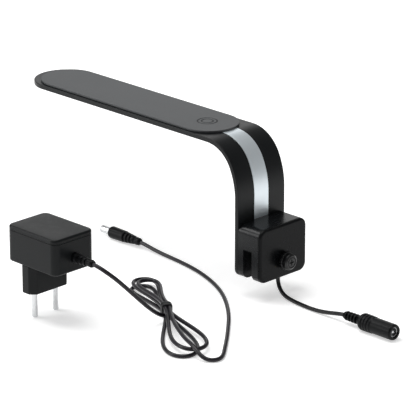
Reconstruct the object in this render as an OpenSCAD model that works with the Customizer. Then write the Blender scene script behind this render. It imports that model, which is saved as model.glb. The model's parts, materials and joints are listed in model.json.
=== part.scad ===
// Clip-on tank light: a flat lamp head on a bent arm, a screw clamp for a glass rim,
// a short lead with a DC socket, and a loose plug-in mains adapter with its tied cord.
// Millimetres. Origin: middle of the clamp slot's ceiling, where the glass edge seats.
// +X points out of the tank (the screw side), the head reaches towards -X, +Z is up.

/* [Arm and head] */
// Width of the arm and head strip
strip_w = 46; // [38:1:60]
// Thickness of the strip
strip_t = 3.3; // [3.3:0.1:5]
// Reach of the head's tip from the arm's outer face
head_reach = 222.5; // [180:2.5:300]
// Height of the head's top face above the clamp block
arm_rise = 56; // [50:1:90]
// Bend radius of the arm's lower curve
bend_low_r = 52; // [40:1:56]
// Angle turned by the lower curve
bend_low_angle = 27; // [10:1:35]
// Bend radius of the upper curve
bend_top_r = 28; // [18:1:32]
// Thickness of the head's cover plate
cover_t = 1.6; // [1.2:0.1:3]
// Margin of the cover plate along the head's sides
cover_margin = 2; // [1:0.5:4]
// Margin of the cover plate at the head's tip
tip_margin = 6.5; // [2:0.5:12]
// Distance from the cover's inner end to the touch mark
touch_inset = 23; // [17:0.5:30]
// Outer diameter of the touch mark
touch_d = 14.6; // [8:0.2:18]
// Width of the bright trim strip on the arm
trim_w = 14; // [8:0.5:20]
// Thickness of the trim strip
trim_t = 0.8; // [0.5:0.1:1]

/* [Lamp window] */
// Margin of the window along the head's sides
lens_margin = 4; // [3:0.5:8]
// Thickness of the window
lens_t = 1; // [0.8:0.1:1]
// Thickness of the LED board
led_board_t = 0.8; // [0.6:0.1:0.8]
// Length of the solid strip between the bend and the window
lens_gap = 38; // [34:1:60]
// Number of LEDs in one row
led_count = 16; // [6:1:20]

/* [Clamp] */
// Height of the clamp block
block_h = 38.8; // [34:0.2:50]
// Depth of the slot under its ceiling
slot_h = 22; // [19:0.5:26]
// Width of the slot
slot_w = 8.2; // [7:0.1:12]
// Thickness of the jaw on the arm's side
jaw_t = 8.2; // [7:0.1:12]
// Thickness of the jaw on the screw side, without its front plate
screw_jaw_t = 6; // [5.8:0.1:9]
// Thickness of the front plate
plate_t = 2.2; // [1.8:0.1:4]
// Corner radius of the block
corner_r = 6; // [3:0.5:8]
// Depth of the screw's axis under the slot's ceiling
screw_drop = 9; // [8.5:0.1:10]
// Diameter of the clamp screw
screw_d = 4.9; // [4:0.1:5.4]
// Pitch of the screw thread
screw_pitch = 0.8; // [0.5:0.1:1.25]
// Gap that the pressure pad leaves in the slot
pad_gap = 4.3; // [3:0.1:5]
// Diameter of the pressure pad
pad_d = 15; // [10:0.5:15]
// Thickness of the pressure pad with its facing
pad_t = 2; // [1.8:0.1:2.4]
// Gap between the screw's knob and the front plate
knob_gap = 1.6; // [1.5:0.1:4]
// Diameter of the knob's ribbed collar
knob_d = 13; // [10:0.5:18]
// Diameter of the knob's head
knob_head_d = 11.6; // [8:0.2:16]
// Length of the knob
knob_len = 6.6; // [5:0.2:12]

/* [Leads] */
// Height of the clamp block above the surface that the leads lie on
stand_h = 14; // [14:1:14]
// Diameter of the lead and of the adapter's cord
cord_d = 2.9; // [2.9:0.1:2.9]
// Diameter of the lead socket's barrel
socket_d = 11.2; // [10:0.2:12]
// Length of the lead socket's barrel
socket_len = 19; // [15:1:24]
// Diameter of the plug's metal barrel
barrel_d = 5.5; // [3.5:0.1:5.5]
// Length of the plug's metal barrel
barrel_len = 9.5; // [8:0.5:12]
// Diameter of the plug's grip
plug_d = 9; // [8:0.5:9.4]
// Length of the plug's grip and relief
plug_len = 31; // [26:1:31]

/* [Mains adapter] */
// Length of the adapter's case
case_l = 49; // [44:1:70]
// Width of the adapter's case
case_w = 36; // [36:1:50]
// Height of the adapter's case
case_h = 26; // [22:1:40]
// Wall of the adapter's case
case_wall = 2; // [1.5:0.1:3]
// Height of the case's lid
lid_h = 3.4; // [3:0.1:6]
// Corner radius of the case
case_r = 5; // [3:0.5:8]
// Length of the plug block across the pins
plug_block_l = 35; // [30:0.5:36]
// Thickness of the plug block
plug_block_t = 14.5; // [12:0.5:18]
// Height of the plug block
plug_block_h = 20; // [15:1:24]
// Distance between the mains pins
pin_spacing = 19; // [19:0.1:19]
// Diameter of a mains pin
pin_d = 4; // [4:0.1:4.8]
// Length of a mains pin outside the plug block
pin_len = 19; // [17:0.5:19]
// Length of the hank's solid outline above the surface
hank_h = 8.8; // [8.8:0.1:12]

/* [Hidden] */
$fn = 64;
eps = 0.01;

// Clearances
fit_gap = 0.1;        // between pieces that are placed by hand
turn_gap = 0.05;      // radial, round a turning shaft
pad_play = 0.2;       // radial, round the pressure pad
skin = 0.8;           // least wall left over a pocket

// Clamp places
arm_out_x = -slot_w / 2 - jaw_t + strip_t;
jaw_back_x = arm_out_x - strip_t;
block_top = block_h - slot_h;
seam_x = slot_w / 2 + screw_jaw_t;
front_x = seam_x + plate_t;
stand_z = -slot_h - stand_h;
pad_face_x = -slot_w / 2 + pad_gap;
pad_back_x = pad_face_x + pad_t;
pad_pocket = pad_t + 0.2;
insert_r = screw_d / 2 + turn_gap + 1.5;
plate_hole_r = screw_d / 2 + 0.8;
knob_x = front_x + knob_gap;
pad_seat_depth = 1;
facing_t = 0.8;

// Arm curve
head_z = block_top + arm_rise;
curve_x = arm_out_x - bend_low_r + (bend_low_r - bend_top_r) * cos(bend_low_angle);
curve_z = head_z - bend_top_r;
leg_top_z = curve_z - (bend_low_r - bend_top_r) * sin(bend_low_angle);
tip_x = arm_out_x - head_reach;
tip_c = tip_x + strip_w / 2;

// Head places
cover_w = strip_w - 2 * cover_margin;
cover_x0 = tip_x + tip_margin;
cover_x1 = curve_x + 0.6;
touch_x = cover_x1 - touch_inset;
touch_ring_w = 0.9;
touch_ring_deep = 0.3;
touch_board_t = 0.8;
touch_pocket_r = touch_d / 2 + 0.7;
touch_pocket_deep = strip_t - skin;
trim_x0 = cover_x1 - 8;
flex_w = 5;
flex_t = 0.3;
flex_groove = trim_t + flex_t + 0.2;
flex_x0 = touch_x;
flex_end_z = block_top - 12;
lens_w = strip_w - 2 * lens_margin;
lens_x1 = curve_x - lens_gap;
lens_lip = 1.5;
led_w = lens_w - 2 * lens_lip - 2 * fit_gap;
led_x1 = lens_x1 - lens_lip - fit_gap;
under_z = head_z - strip_t;
led_board_z = head_z - skin - led_board_t;
chip_h = strip_t - skin - led_board_t - lens_t - 0.1;
chip_l = 3.5;
chip_w = 2.8;

// Block cavity and wire run
cavity_z0 = 3;
cavity_z1 = block_top - 3.2;
cavity_x0 = arm_out_x + 0.6;
cavity_y = strip_w / 2 - 4;
board_t = 1;
board_x0 = cavity_x0 + 0.2;
lead_x = slot_w / 2 + 3.1;
grommet_r = cord_d / 2 + 0.85;
grommet_l = 5;
lead_top_z = -slot_h + grommet_l - 1.4;
wire_d = 1;
wire_x = lead_x + 0.6;
duct_w = 2.8;
duct_y = insert_r + 1 + duct_w / 2;
duct_x0 = wire_x - 0.9;
duct_z0 = -slot_h + grommet_l - 1;
peg_r = 1.1;
peg_l = 3;
peg_y = strip_w / 2 - corner_r + 0.6;

// Leads: each route's points, in order from its housing
lead_route = [
    [lead_x, 0, lead_top_z], [lead_x, 0, -slot_h], [7.2, 0, -25],
    [8, -0.2, -28.2], [10.5, -1, -31.2], [14.5, -2.2, -33.4], [20, -3.4, -34.3],
    [27, -4.6, -34.5], [35, -5.6, -34.5], [43, -6.2, -34.5], [51, -6.4, -34.2],
    [59, -6.4, -33.2], [67, -6.3, -31.6], [72, -6.3, -30.6], [76.5, -6.3, -30]
];
adapter_route = [
    [-31, -138, 13], [-26, -138, 12.4], [-20.5, -136, 9.6], [-16.5, -131.5, 4.8],
    [-14.4, -125.5, -1.6], [-13.2, -119, -8.4], [-12.4, -112, -15.6], [-11.8, -105, -22.4],
    [-11.4, -98, -28.2], [-11.6, -92.5, -31.4], [-13, -88, -32.6]
];
plug_route = [
    [44, -119.6, -28.2], [49, -121.2, -29.6], [54, -122, -32.2], [59, -121, -34.2],
    [62.8, -117.6, -34.5], [63.6, -112.5, -34.5], [60.2, -106.5, -34.5], [55, -100.4, -34.5],
    [49.6, -94, -34.5], [44, -87.4, -34.5], [38, -80.6, -34.5], [31.4, -73.4, -34.5],
    [24.4, -65.8, -34.5], [17, -58, -34.5], [9.2, -50.6, -34.5], [1.4, -43.8, -34.5],
    [-6.5, -37.4, -34.5], [-14.8, -31.4, -34.5], [-23.4, -26, -34.5], [-32.2, -21.4, -34.5],
    [-41.2, -17.4, -34.5], [-50.4, -14, -34.5], [-59.6, -11.2, -34.5], [-69, -9, -34.5],
    [-78.6, -7.4, -34.5], [-88.2, -6.2, -34.5], [-97.6, -5.4, -34.4], [-106, -5, -34],
    [-113, -5, -33.2], [-119, -5, -32.2], [-125, -5, -31.4]
];
tube_sides = 8;

// Socket on the lead, lying along +X
socket_x0 = 76.5;
socket_y = -6.3;
socket_z = -30;
relief_d = 6.2;
relief_l = 13.5;
collar_d = 12;
collar_l = 12.5;
socket_x1 = socket_x0 + relief_l + collar_l;
socket_end_x = socket_x1 + socket_len;
socket_bore_r = barrel_d / 2 + 0.15;
socket_bore_l = barrel_len;
contact_t = 0.4;
socket_pin_r = 1;

// Plug on the adapter's cord, lying along -X
plug_x0 = -125;
plug_y = -5;
plug_z = -31.4;
plug_relief_l = 14;
plug_tip_x = plug_x0 - plug_len;
barrel_wall = 0.5;
barrel_root = 4;
// step from a pin or barrel to its root in the moulding
root_step = 0.25;
plug_pin_bore_r = 1.05;

// Adapter places
adapter_pin_x = -80;
adapter_y = -138;
case_z0 = stand_z + pin_len + plug_block_h;
case_z1 = case_z0 + case_h;
case_x1 = adapter_pin_x + 31;
case_x0 = case_x1 - case_l;
lid_z = case_z1 - lid_h;
relief_z = 13;
case_relief_l = 18;
case_relief_d = 7.2;
case_relief_root = 2;
board_z = case_z0 + case_wall + 2.4;
plug_front_y = adapter_y - case_w / 2 + 0.5;
plug_mid_y = plug_front_y + plug_block_l / 2;
plug_spigot = 1.2;

// Hank
tie_pos = [-17, -84];
hank_tail_a = [-60.5, -66.5];
hank_tail_b = [-67, -54.5];
hank_loop_a = [20, -108];
hank_loop_b = [38, -120];
hank_waist_r = 4.6;
hank_tail_r = 9;
hank_loop_r = 14.5;
tie_w = 6;
tie_t = 0.8;
tie_angle = atan2(tie_pos[1] - hank_loop_b[1], tie_pos[0] - hank_loop_b[0]);

// ---- shared shapes ----

// Cylinder along +X from x0 to x1 about the line (y, z)
module rod_x(r, x0, x1, y = 0, z = 0) {
    translate([x0, y, z]) rotate([0, 90, 0]) cylinder(r = r, h = x1 - x0);
}

// Cone along +X
module cone_x(r0, r1, x0, x1, y = 0, z = 0) {
    translate([x0, y, z]) rotate([0, 90, 0]) cylinder(r1 = r0, r2 = r1, h = x1 - x0);
}

// Straight wire between two points that differ along one axis, with round ends
module wire(a, b, d) {
    span = b - a;
    turn = abs(span[0]) > 0 ? [0, 90, 0] : (abs(span[1]) > 0 ? [-90, 0, 0] : [0, 0, 0]);
    low = [min(a[0], b[0]), min(a[1], b[1]), min(a[2], b[2])];
    translate(low) rotate(turn) cylinder(d = d, h = norm(span), $fn = 24);
    for (p = [a, b]) translate(p) sphere(d = d, $fn = 24);
}

// Points along an arc about c, from angle a0 to a1 in n steps, leaving out the first skip
function arc_points(c, r, a0, a1, n, skip = 0) =
    [for (i = [skip:n]) let (a = a0 + (a1 - a0) * i / n) c + r * [cos(a), sin(a)]];

// One line of the arm's side view, in from its outer face by off:
// along the head from x_from, round both curves and down to z_to
function arm_line(off, x_from, z_to) = concat(
    [[x_from, head_z - off]],
    arc_points([curve_x, curve_z], bend_top_r - off, 90, bend_low_angle, 24),
    arc_points([arm_out_x - bend_low_r, leg_top_z], bend_low_r - off,
               bend_low_angle, 0, 12, 1),
    [[arm_out_x - off, z_to]]);

// Side view of a layer of the arm, in from its outer face by off and t thick
module arm_layer(off, t, x_from, z_to) {
    inner = arm_line(off + t, x_from, z_to);
    polygon(concat(arm_line(off, x_from, z_to),
                   [for (i = [len(inner) - 1:-1:0]) inner[i]]));
}

// An arm layer with a width
module arm_band(off, t, w, x_from, z_to) {
    rotate([90, 0, 0]) translate([0, 0, -w / 2]) linear_extrude(w) arm_layer(off, t, x_from, z_to);
}

// Plan of the head or of a pocket in it: a round tip about tip_c and a straight body
module tip_plan(w, x_to) {
    translate([tip_c, 0]) circle(d = w, $fn = 128);
    translate([tip_c, -w / 2]) square([x_to - tip_c, w]);
}

// Plan with both ends round
module stadium(x0, x1, w) {
    for (x = [x0 + w / 2, x1 - w / 2]) translate([x, 0]) circle(d = w, $fn = 128);
    translate([x0 + w / 2, -w / 2]) square([x1 - x0 - w, w]);
}

// Rounded rectangle in plan, centred, with true arcs
module rounded(w, h, r) {
    square([w - 2 * r, h], center = true);
    square([w, h - 2 * r], center = true);
    for (sx = [-1, 1], sy = [-1, 1])
        translate([sx * (w / 2 - r), sy * (h / 2 - r)]) circle(r = r);
}

// Slab of the clamp's outline, from x0 to x1
module block_slab(x0, x1, inset = 0) {
    translate([x0, 0, block_top - block_h / 2])
        rotate([90, 0, 90])
            linear_extrude(x1 - x0)
                rounded(strip_w - 2 * inset, block_h - 2 * inset, corner_r - inset);
}

// Direction of a route at point i
function way(route, i) =
    let (a = route[max(i - 1, 0)], b = route[min(i + 1, len(route) - 1)], v = b - a)
    v / norm(v);

// Ring of a tube at point i, turned so that it starts at side
function tube_ring(route, i, r, side) =
    let (v = way(route, i), s0 = side - v * (side * v), s = s0 / norm(s0), u = cross(v, s))
    [for (k = [0:tube_sides - 1])
        let (a = 360 * k / tube_sides) route[i] + r * (cos(a) * s + sin(a) * u)];

// Side vectors carried along a route so that the tube doesn't twist
function carried_sides(route, i = 0, side = [0, 1, 0]) =
    let (v = way(route, i), s0 = side - v * (side * v), s = s0 / norm(s0))
    i == len(route) - 1 ? [s] : concat([s], carried_sides(route, i + 1, s));

// Tube swept along a route
module tube(route, d, first_side = [0, 1, 0]) {
    n = len(route);
    sides = carried_sides(route, 0, first_side);
    points = [for (i = [0:n - 1]) each tube_ring(route, i, d / 2, sides[i])];
    walls = [for (i = [0:n - 2], k = [0:tube_sides - 1])
        let (a = i * tube_sides + k, b = i * tube_sides + (k + 1) % tube_sides)
        [a, a + tube_sides, b + tube_sides, b]];
    first_end = [for (k = [0:tube_sides - 1]) k];
    last_end = [for (k = [tube_sides - 1:-1:0]) (n - 1) * tube_sides + k];
    polyhedron(points = points, faces = concat([first_end], walls, [last_end]), convexity = 10);
}

// ---- lamp ----

// What is cut from the back jaw to round its two bottom corners
module foot_corners() {
    for (side = [-1, 1])
        translate([jaw_back_x - 1, side * (strip_w / 2 - corner_r), corner_r - slot_h])
            rotate([90, 0, 90]) linear_extrude(strip_t + 2) difference() {
                translate([side > 0 ? 0 : -corner_r - 1, -corner_r - 1])
                    square(corner_r + 1);
                circle(r = corner_r);
            }
}

// Bent strip: head, curves and leg, with the pockets for what it carries
module arm_shell() {
    color("#2b2d2f") difference() {
        intersection() {
            arm_band(0, strip_t, strip_w, tip_x, -slot_h);
            translate([0, 0, -slot_h])
                linear_extrude(block_h + arm_rise + 1) tip_plan(strip_w, arm_out_x + 1);
        }
        foot_corners();
        // window pocket and board pocket in the underside
        translate([0, 0, under_z - 1])
            linear_extrude(lens_t + 1) tip_plan(lens_w, lens_x1);
        translate([0, 0, under_z - 1])
            linear_extrude(strip_t - skin + 1)
                tip_plan(lens_w - 2 * lens_lip, lens_x1 - lens_lip);
        // trim recess and ribbon groove round the outer face
        arm_band(-1, trim_t + 1, trim_w, trim_x0, block_top - eps);
        arm_band(-1, flex_groove + 1, flex_w + 0.4, flex_x0, flex_end_z - 2);
        // touch board pocket, and the window for its leads to the LED board
        translate([touch_x, 0, head_z - touch_pocket_deep])
            cylinder(r = touch_pocket_r, h = touch_pocket_deep + 1);
        translate([led_x1 - 2, -flex_w / 2, head_z - skin - 0.5])
            cube([touch_x - led_x1 + 2, flex_w, skin + 1]);
    }
}

// Flat plate over the head, with the touch mark's two rings
module head_cover() {
    color("#4a4c4e") difference() {
        translate([0, 0, head_z]) linear_extrude(cover_t) stadium(cover_x0, cover_x1, cover_w);
        for (d = [touch_d, touch_d * 0.62])
            translate([touch_x, 0, head_z + cover_t - touch_ring_deep])
                difference() {
                    cylinder(d = d, h = 1);
                    translate([0, 0, -1]) cylinder(d = d - 2 * touch_ring_w, h = 3);
                }
    }
}

module touch_board() {
    color("darkgreen")
        translate([touch_x, 0, head_z - touch_pocket_deep])
            cylinder(r = touch_pocket_r - 0.3, h = touch_board_t);
}

// Spring that carries the touch to the board
module touch_spring() {
    color("gold")
        translate([touch_x, 0, head_z - touch_pocket_deep + touch_board_t])
            difference() {
                cylinder(d = 6, h = touch_pocket_deep - touch_board_t);
                translate([0, 0, -1]) cylinder(d = 5, h = 5);
            }
}

// Bright band down the middle of the arm's outer face
module trim_strip() {
    color("#dfe7ec") arm_band(0, trim_t - eps, trim_w - 0.1, trim_x0 + 0.1, block_top);
}

// Flat ribbon from the head to the clamp's board
module flex_lead() {
    color("#c77b30")
        arm_band(trim_t + 0.1, flex_t, flex_w, touch_x + touch_pocket_r, flex_end_z);
}

module led_board() {
    color("white")
        translate([0, 0, led_board_z]) linear_extrude(led_board_t) tip_plan(led_w, led_x1);
}

// Two rows of LEDs under the board
module led_chips() {
    run = led_x1 - tip_c - 8;
    color("#f2d76a")
        for (i = [0:led_count - 1], side = [-1, 1])
            translate([tip_c + 2 + i * run / (led_count - 1), side * led_w / 4,
                       led_board_z - chip_h / 2])
                cube([chip_l, chip_w, chip_h], center = true);
}

// Clear window, flush with the head's underside
module lens() {
    color("#dfe9ee")
        translate([0, 0, under_z]) linear_extrude(lens_t - fit_gap)
            tip_plan(lens_w - 2 * fit_gap, lens_x1 - fit_gap);
}

// ---- clamp ----

module clamp_block() {
    color("#25282a") difference() {
        block_slab(arm_out_x, seam_x);
        // slot for the glass
        translate([-slot_w / 2, -strip_w, -slot_h - 1]) cube([slot_w, 2 * strip_w, slot_h + 1]);
        // room for the board, open to the front plate
        translate([cavity_x0, -cavity_y, cavity_z0])
            cube([seam_x - cavity_x0 + 1, 2 * cavity_y, cavity_z1 - cavity_z0]);
        // window for the ribbon
        translate([arm_out_x - 1, -flex_w, cavity_z0 + 2])
            cube([cavity_x0 - arm_out_x + 2, 2 * flex_w, cavity_z1 - cavity_z0 - 3]);
        // pad pocket and insert bore
        rod_x(pad_d / 2 + pad_play, slot_w / 2 - eps, slot_w / 2 + pad_pocket, 0, -screw_drop);
        rod_x(insert_r, slot_w / 2, seam_x + 1, 0, -screw_drop);
        // facing recess in the other jaw
        translate([-slot_w / 2 - facing_t, -pad_d / 2, -screw_drop - pad_d / 2])
            cube([facing_t + eps, pad_d, pad_d]);
        // lead hole and wire duct
        translate([lead_x, 0, -slot_h - 1]) cylinder(r = grommet_r, h = grommet_l + 1);
        translate([duct_x0, -wire_d - 0.4, duct_z0])
            cube([seam_x - duct_x0 + 1, duct_y + duct_w / 2 + wire_d + 0.4, duct_w]);
        translate([duct_x0, duct_y - duct_w / 2, duct_z0])
            cube([seam_x - duct_x0 + 1, duct_w, cavity_z0 - duct_z0 + 1]);
        // holes for the plate's pegs
        for (y = [-peg_y, peg_y], z = [-slot_h + corner_r, -screw_drop + 6])
            rod_x(peg_r + turn_gap, seam_x - peg_l - 0.3, seam_x + 1, y, z);
    }
}

// Front plate with a rounded rim, four pegs and the screw's hole
module front_plate() {
    rim = plate_t - 0.4;
    steps = 4;
    color("#232527") difference() {
        union() {
            block_slab(seam_x, front_x - rim);
            for (i = [1:steps])
                block_slab(front_x - rim + (i - 1) * rim / steps - eps, front_x - rim + i * rim / steps,
                           rim * (1 - sqrt(1 - pow((i - 0.5) / steps, 2))));
            for (y = [-peg_y, peg_y], z = [-slot_h + corner_r, -screw_drop + 6])
                rod_x(peg_r, seam_x - peg_l, seam_x + eps, y, z);
        }
        rod_x(plate_hole_r, seam_x - 1, front_x + 1, 0, -screw_drop);
    }
}

// Brass insert that carries the screw's thread
module threaded_insert() {
    color("goldenrod") difference() {
        rod_x(insert_r, slot_w / 2 + pad_pocket, seam_x, 0, -screw_drop);
        rod_x(screw_d / 2 + turn_gap, slot_w / 2, seam_x + 1, 0, -screw_drop);
    }
}

// Soft facing let into the jaw on the arm's side
module jaw_facing() {
    side = pad_d - 2 * fit_gap;
    color("#161616")
        translate([-slot_w / 2 - facing_t, -side / 2, -screw_drop - side / 2])
            cube([facing_t, side, side]);
}

module control_board() {
    color("darkgreen")
        translate([board_x0, -cavity_y + 2, cavity_z0 + 0.5])
            cube([board_t, 2 * cavity_y - 4, cavity_z1 - cavity_z0 - 1]);
}

// Chip, regulator coil and two capacitors on the board
module board_parts() {
    x = board_x0 + board_t;
    mid_z = (cavity_z0 + cavity_z1) / 2;
    color("#1d1d20") {
        translate([x, -3, mid_z - 2.5]) cube([1.6, 6, 5]);
        translate([x, -12, mid_z - 2.5]) cube([3, 5, 5]);
        for (y = [9.5, 14]) rod_x(1.9, x, x + 5, y, mid_z);
    }
}

// Two wires from the lead up to the board
module supply_wires() {
    z0 = duct_z0 + duct_w / 2;
    z1 = cavity_z0 + 2;
    color("firebrick")
        for (side = [-1, 1]) {
            x = wire_x + 0.15 + side * 0.5;
            y = duct_y + side * 0.6;
            z = z0 + side * 0.6;
            start = [x, side * 0.55, lead_top_z + wire_d / 2];
            wire(start, [start[0], start[1], z], wire_d);
            wire([start[0], start[1], z], [x, y, z], wire_d);
            wire([x, y, z], [x, y, z1], wire_d);
            wire([board_x0 + board_t + wire_d / 2, y, z1], [x, y, z1], wire_d);
        }
}

// Soft bush where the lead leaves the block
module lead_grommet() {
    color("#111111")
        translate([lead_x, 0, -slot_h]) difference() {
            cylinder(r = grommet_r - turn_gap, h = lead_top_z + slot_h);
            translate([0, 0, -1]) cylinder(d = cord_d + 0.1, h = grommet_l + 2);
        }
}

module lead_cord() {
    color("#1a1b1c") tube(lead_route, cord_d);
}

// ---- lead socket ----

// Ribbed relief, collar with three ribs and barrel with its bore
module socket_body() {
    rib_w = 1.2;
    color("#1b1d1e") difference() {
        union() {
            cone_x(relief_d / 2 - 0.5, relief_d / 2, socket_x0, socket_x0 + relief_l,
                   socket_y, socket_z);
            for (i = [0:3])
                rod_x(relief_d / 2 + 0.3, socket_x0 + 1.5 + 2.8 * i, socket_x0 + 1.5 + 2.8 * i + rib_w,
                      socket_y, socket_z);
            cone_x(relief_d / 2, collar_d / 2 - 0.4, socket_x0 + relief_l, socket_x0 + relief_l + 3,
                   socket_y, socket_z);
            rod_x(collar_d / 2 - 0.4, socket_x0 + relief_l + 3, socket_x1, socket_y, socket_z);
            for (i = [0:2])
                rod_x(collar_d / 2, socket_x0 + relief_l + 3.5 + 3 * i,
                      socket_x0 + relief_l + 3.5 + 3 * i + rib_w * 1.4, socket_y, socket_z);
            rod_x(socket_d / 2, socket_x1 - eps, socket_end_x, socket_y, socket_z);
        }
        rod_x(socket_bore_r + contact_t, socket_end_x - socket_bore_l, socket_end_x + 1,
              socket_y, socket_z);
    }
}

// Metal sleeve inside the socket
module socket_contact() {
    color("silver") difference() {
        rod_x(socket_bore_r + contact_t, socket_end_x - socket_bore_l, socket_end_x - 1,
              socket_y, socket_z);
        rod_x(socket_bore_r, socket_end_x - socket_bore_l + 0.6, socket_end_x + 1,
              socket_y, socket_z);
    }
}

module socket_pin() {
    color("silver")
        rod_x(socket_pin_r, socket_end_x - socket_bore_l + 0.6, socket_end_x - 1.6,
              socket_y, socket_z);
}

// ---- moving clamp pieces ----

// Pad that presses the glass, with a seat for the screw's end
module pressure_pad() {
    color("#2d2f31") difference() {
        rod_x(pad_d / 2, pad_face_x + facing_t, pad_back_x, 0, -screw_drop);
        rod_x(screw_d / 2 - 0.5 + turn_gap, pad_back_x - pad_seat_depth, pad_back_x + 1,
              0, -screw_drop);
    }
}

module pad_facing() {
    color("#161616")
        rod_x(pad_d / 2 - 0.4, pad_face_x, pad_face_x + facing_t, 0, -screw_drop);
}

// Screw: shaft, and the reduced end that turns in the pad
module clamp_screw() {
    color("#8d9194") {
        rod_x(screw_d / 2 - 0.5, pad_back_x - pad_seat_depth + turn_gap, pad_back_x + 0.3 + eps,
              0, -screw_drop);
        rod_x(screw_d / 2, pad_back_x + 0.3, knob_x + knob_len / 2, 0, -screw_drop);
    }
}

// Knob: ribbed collar and a head with a cross recess
module screw_knob() {
    ribs = 16;
    collar = knob_len * 0.42;
    head_x = knob_x + collar;
    end_x = knob_x + knob_len;
    color("#1a1b1d") difference() {
        union() {
            rod_x(knob_d / 2, knob_x, head_x, 0, -screw_drop);
            rod_x(knob_head_d / 2 - 0.8, head_x - eps, head_x + 1, 0, -screw_drop);
            rod_x(knob_head_d / 2, head_x + 0.6, end_x - 0.8, 0, -screw_drop);
            cone_x(knob_head_d / 2, knob_head_d / 2 - 1.1, end_x - 0.8 - eps, end_x, 0, -screw_drop);
        }
        // ribs round the collar
        for (i = [0:ribs - 1])
            translate([knob_x - 1, 0, -screw_drop]) rotate([360 * i / ribs, 0, 0])
                translate([0, knob_d / 2 + 0.2, 0]) rotate([0, 90, 0])
                    cylinder(r = 0.7, h = collar + 1, $fn = 24);
        // cross recess
        for (turn = [0, 90])
            translate([end_x - 1.6, 0, -screw_drop]) rotate([turn, 0, 0])
                translate([0, -knob_head_d * 0.26, -0.55])
                    cube([2, knob_head_d * 0.52, 1.1]);
        // seat of the screw
        rod_x(screw_d / 2, knob_x - 1, knob_x + knob_len / 2, 0, -screw_drop);
    }
}

// ---- mains adapter ----

// Outline of the case in plan
module case_plan(inset = 0) {
    translate([case_x0 + case_l / 2, adapter_y])
        rounded(case_l - 2 * inset, case_w - 2 * inset, case_r - inset);
}

module case_tub() {
    color("#2a2d2e") difference() {
        translate([0, 0, case_z0]) linear_extrude(case_h - lid_h) case_plan();
        translate([0, 0, case_z0 + case_wall]) linear_extrude(case_h) case_plan(case_wall);
        // hole for the cord's relief
        rod_x(case_relief_d / 2 + turn_gap, case_x1 - case_wall - 1, case_x1 + 1,
              adapter_y, relief_z);
        // spigot hole for the plug block
        translate([adapter_pin_x, plug_mid_y, case_z0 - 1])
            cylinder(d = plug_block_t * 0.6 + fit_gap, h = case_wall + 2);
    }
}

module case_lid() {
    lip = 1.2;
    color("#3c4042") {
        translate([0, 0, lid_z]) linear_extrude(lid_h) case_plan();
        translate([0, 0, lid_z - lip])
            linear_extrude(lip + eps) case_plan(case_wall + fit_gap);
    }
}

// Plan of the plug block: a bar with chamfered ends
module plug_plan(inset = 0) {
    l = plug_block_l / 2 - inset;
    t = plug_block_t / 2 - inset;
    c = plug_block_t * 0.28;
    polygon([[-t, -l + c], [-t + c, -l], [t - c, -l], [t, -l + c],
             [t, l - c], [t - c, l], [-t + c, l], [-t, l - c]]);
}

module plug_block() {
    color("#26282a") difference() {
        translate([adapter_pin_x, plug_mid_y, case_z0 - plug_block_h]) {
            linear_extrude(plug_block_h) plug_plan();
            cylinder(d = plug_block_t * 0.6, h = plug_block_h + plug_spigot);
        }
        for (side = [-1, 1])
            translate([adapter_pin_x, plug_mid_y + side * pin_spacing / 2, case_z0 - plug_block_h - 1])
                cylinder(d = pin_d - 2 * root_step, h = plug_block_h / 2 + 1);
    }
}

// Two round pins with ball ends
module mains_pins() {
    color("#d9dcde")
        for (side = [-1, 1])
            translate([adapter_pin_x, plug_mid_y + side * pin_spacing / 2, 0]) {
                translate([0, 0, stand_z + pin_d / 2])
                    cylinder(d = pin_d, h = pin_len - pin_d / 2);
                translate([0, 0, stand_z + pin_len - eps])
                    cylinder(d = pin_d - 2 * root_step, h = plug_block_h / 2 + eps);
                translate([0, 0, stand_z + pin_d / 2]) sphere(d = pin_d);
            }
}

module adapter_board() {
    color("darkgreen")
        translate([case_x0 + case_wall + 1, adapter_y - case_w / 2 + case_wall + 1, board_z])
            cube([case_l - 2 * case_wall - 2, case_w - 2 * case_wall - 2, 1.2]);
}

// Core and winding of the transformer
module transformer() {
    x = case_x0 + case_l * 0.42;
    z = board_z + 1.2;
    h = (lid_z - 1.4 - z);
    color("#6b5a2e") {
        translate([x, adapter_y - 7, z]) cube([4, 14, h]);
        translate([x + 10, adapter_y - 7, z]) cube([4, 14, h]);
        translate([x + 4 - eps, adapter_y - 6, z + 1]) cube([6 + 2 * eps, 12, h - 2]);
    }
}

module capacitors() {
    z = board_z + 1.2;
    h = lid_z - 1.4 - z;
    color("#33383c")
        for (p = [[case_x0 + 9, 7, 4.2], [case_x0 + 9, -6, 4.2], [case_x1 - 10, 8, 3]])
            translate([p[0], adapter_y + p[1], z]) cylinder(r = p[2], h = min(h, 3 * p[2]));
}

// Slotted tapered relief on the case's end
module cord_relief() {
    slots = 3;
    slot_pitch = 3.6;
    color("#151617") difference() {
        union() {
            rod_x(case_relief_d / 2, case_x1 - case_wall - case_relief_root, case_x1 + 2,
                  adapter_y, relief_z);
            cone_x(case_relief_d / 2, cord_d / 2 + 1.1, case_x1 + 2 - eps, case_x1 + case_relief_l,
                   adapter_y, relief_z);
        }
        // slots on alternate sides
        for (i = [0:slots - 1], side = [-1, 1])
            translate([case_x1 + 4.4 + slot_pitch * i, adapter_y + side * 4 - 2, relief_z - 4])
                translate([0, side * 0.4, 0]) cube([1.5, 4, 8]);
    }
}

module adapter_cord() {
    color("#1a1b1c") tube(adapter_route, cord_d);
}

// Outline of the tied hank, seen from above
module hank_plan() {
    hull() {
        translate(tie_pos) circle(r = hank_waist_r, $fn = 32);
        for (p = [hank_tail_a, hank_tail_b]) translate(p) circle(r = hank_tail_r, $fn = 32);
    }
    hull() {
        translate(tie_pos) circle(r = hank_waist_r, $fn = 32);
        for (p = [hank_loop_a, hank_loop_b]) translate(p) circle(r = hank_loop_r, $fn = 32);
    }
}

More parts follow.
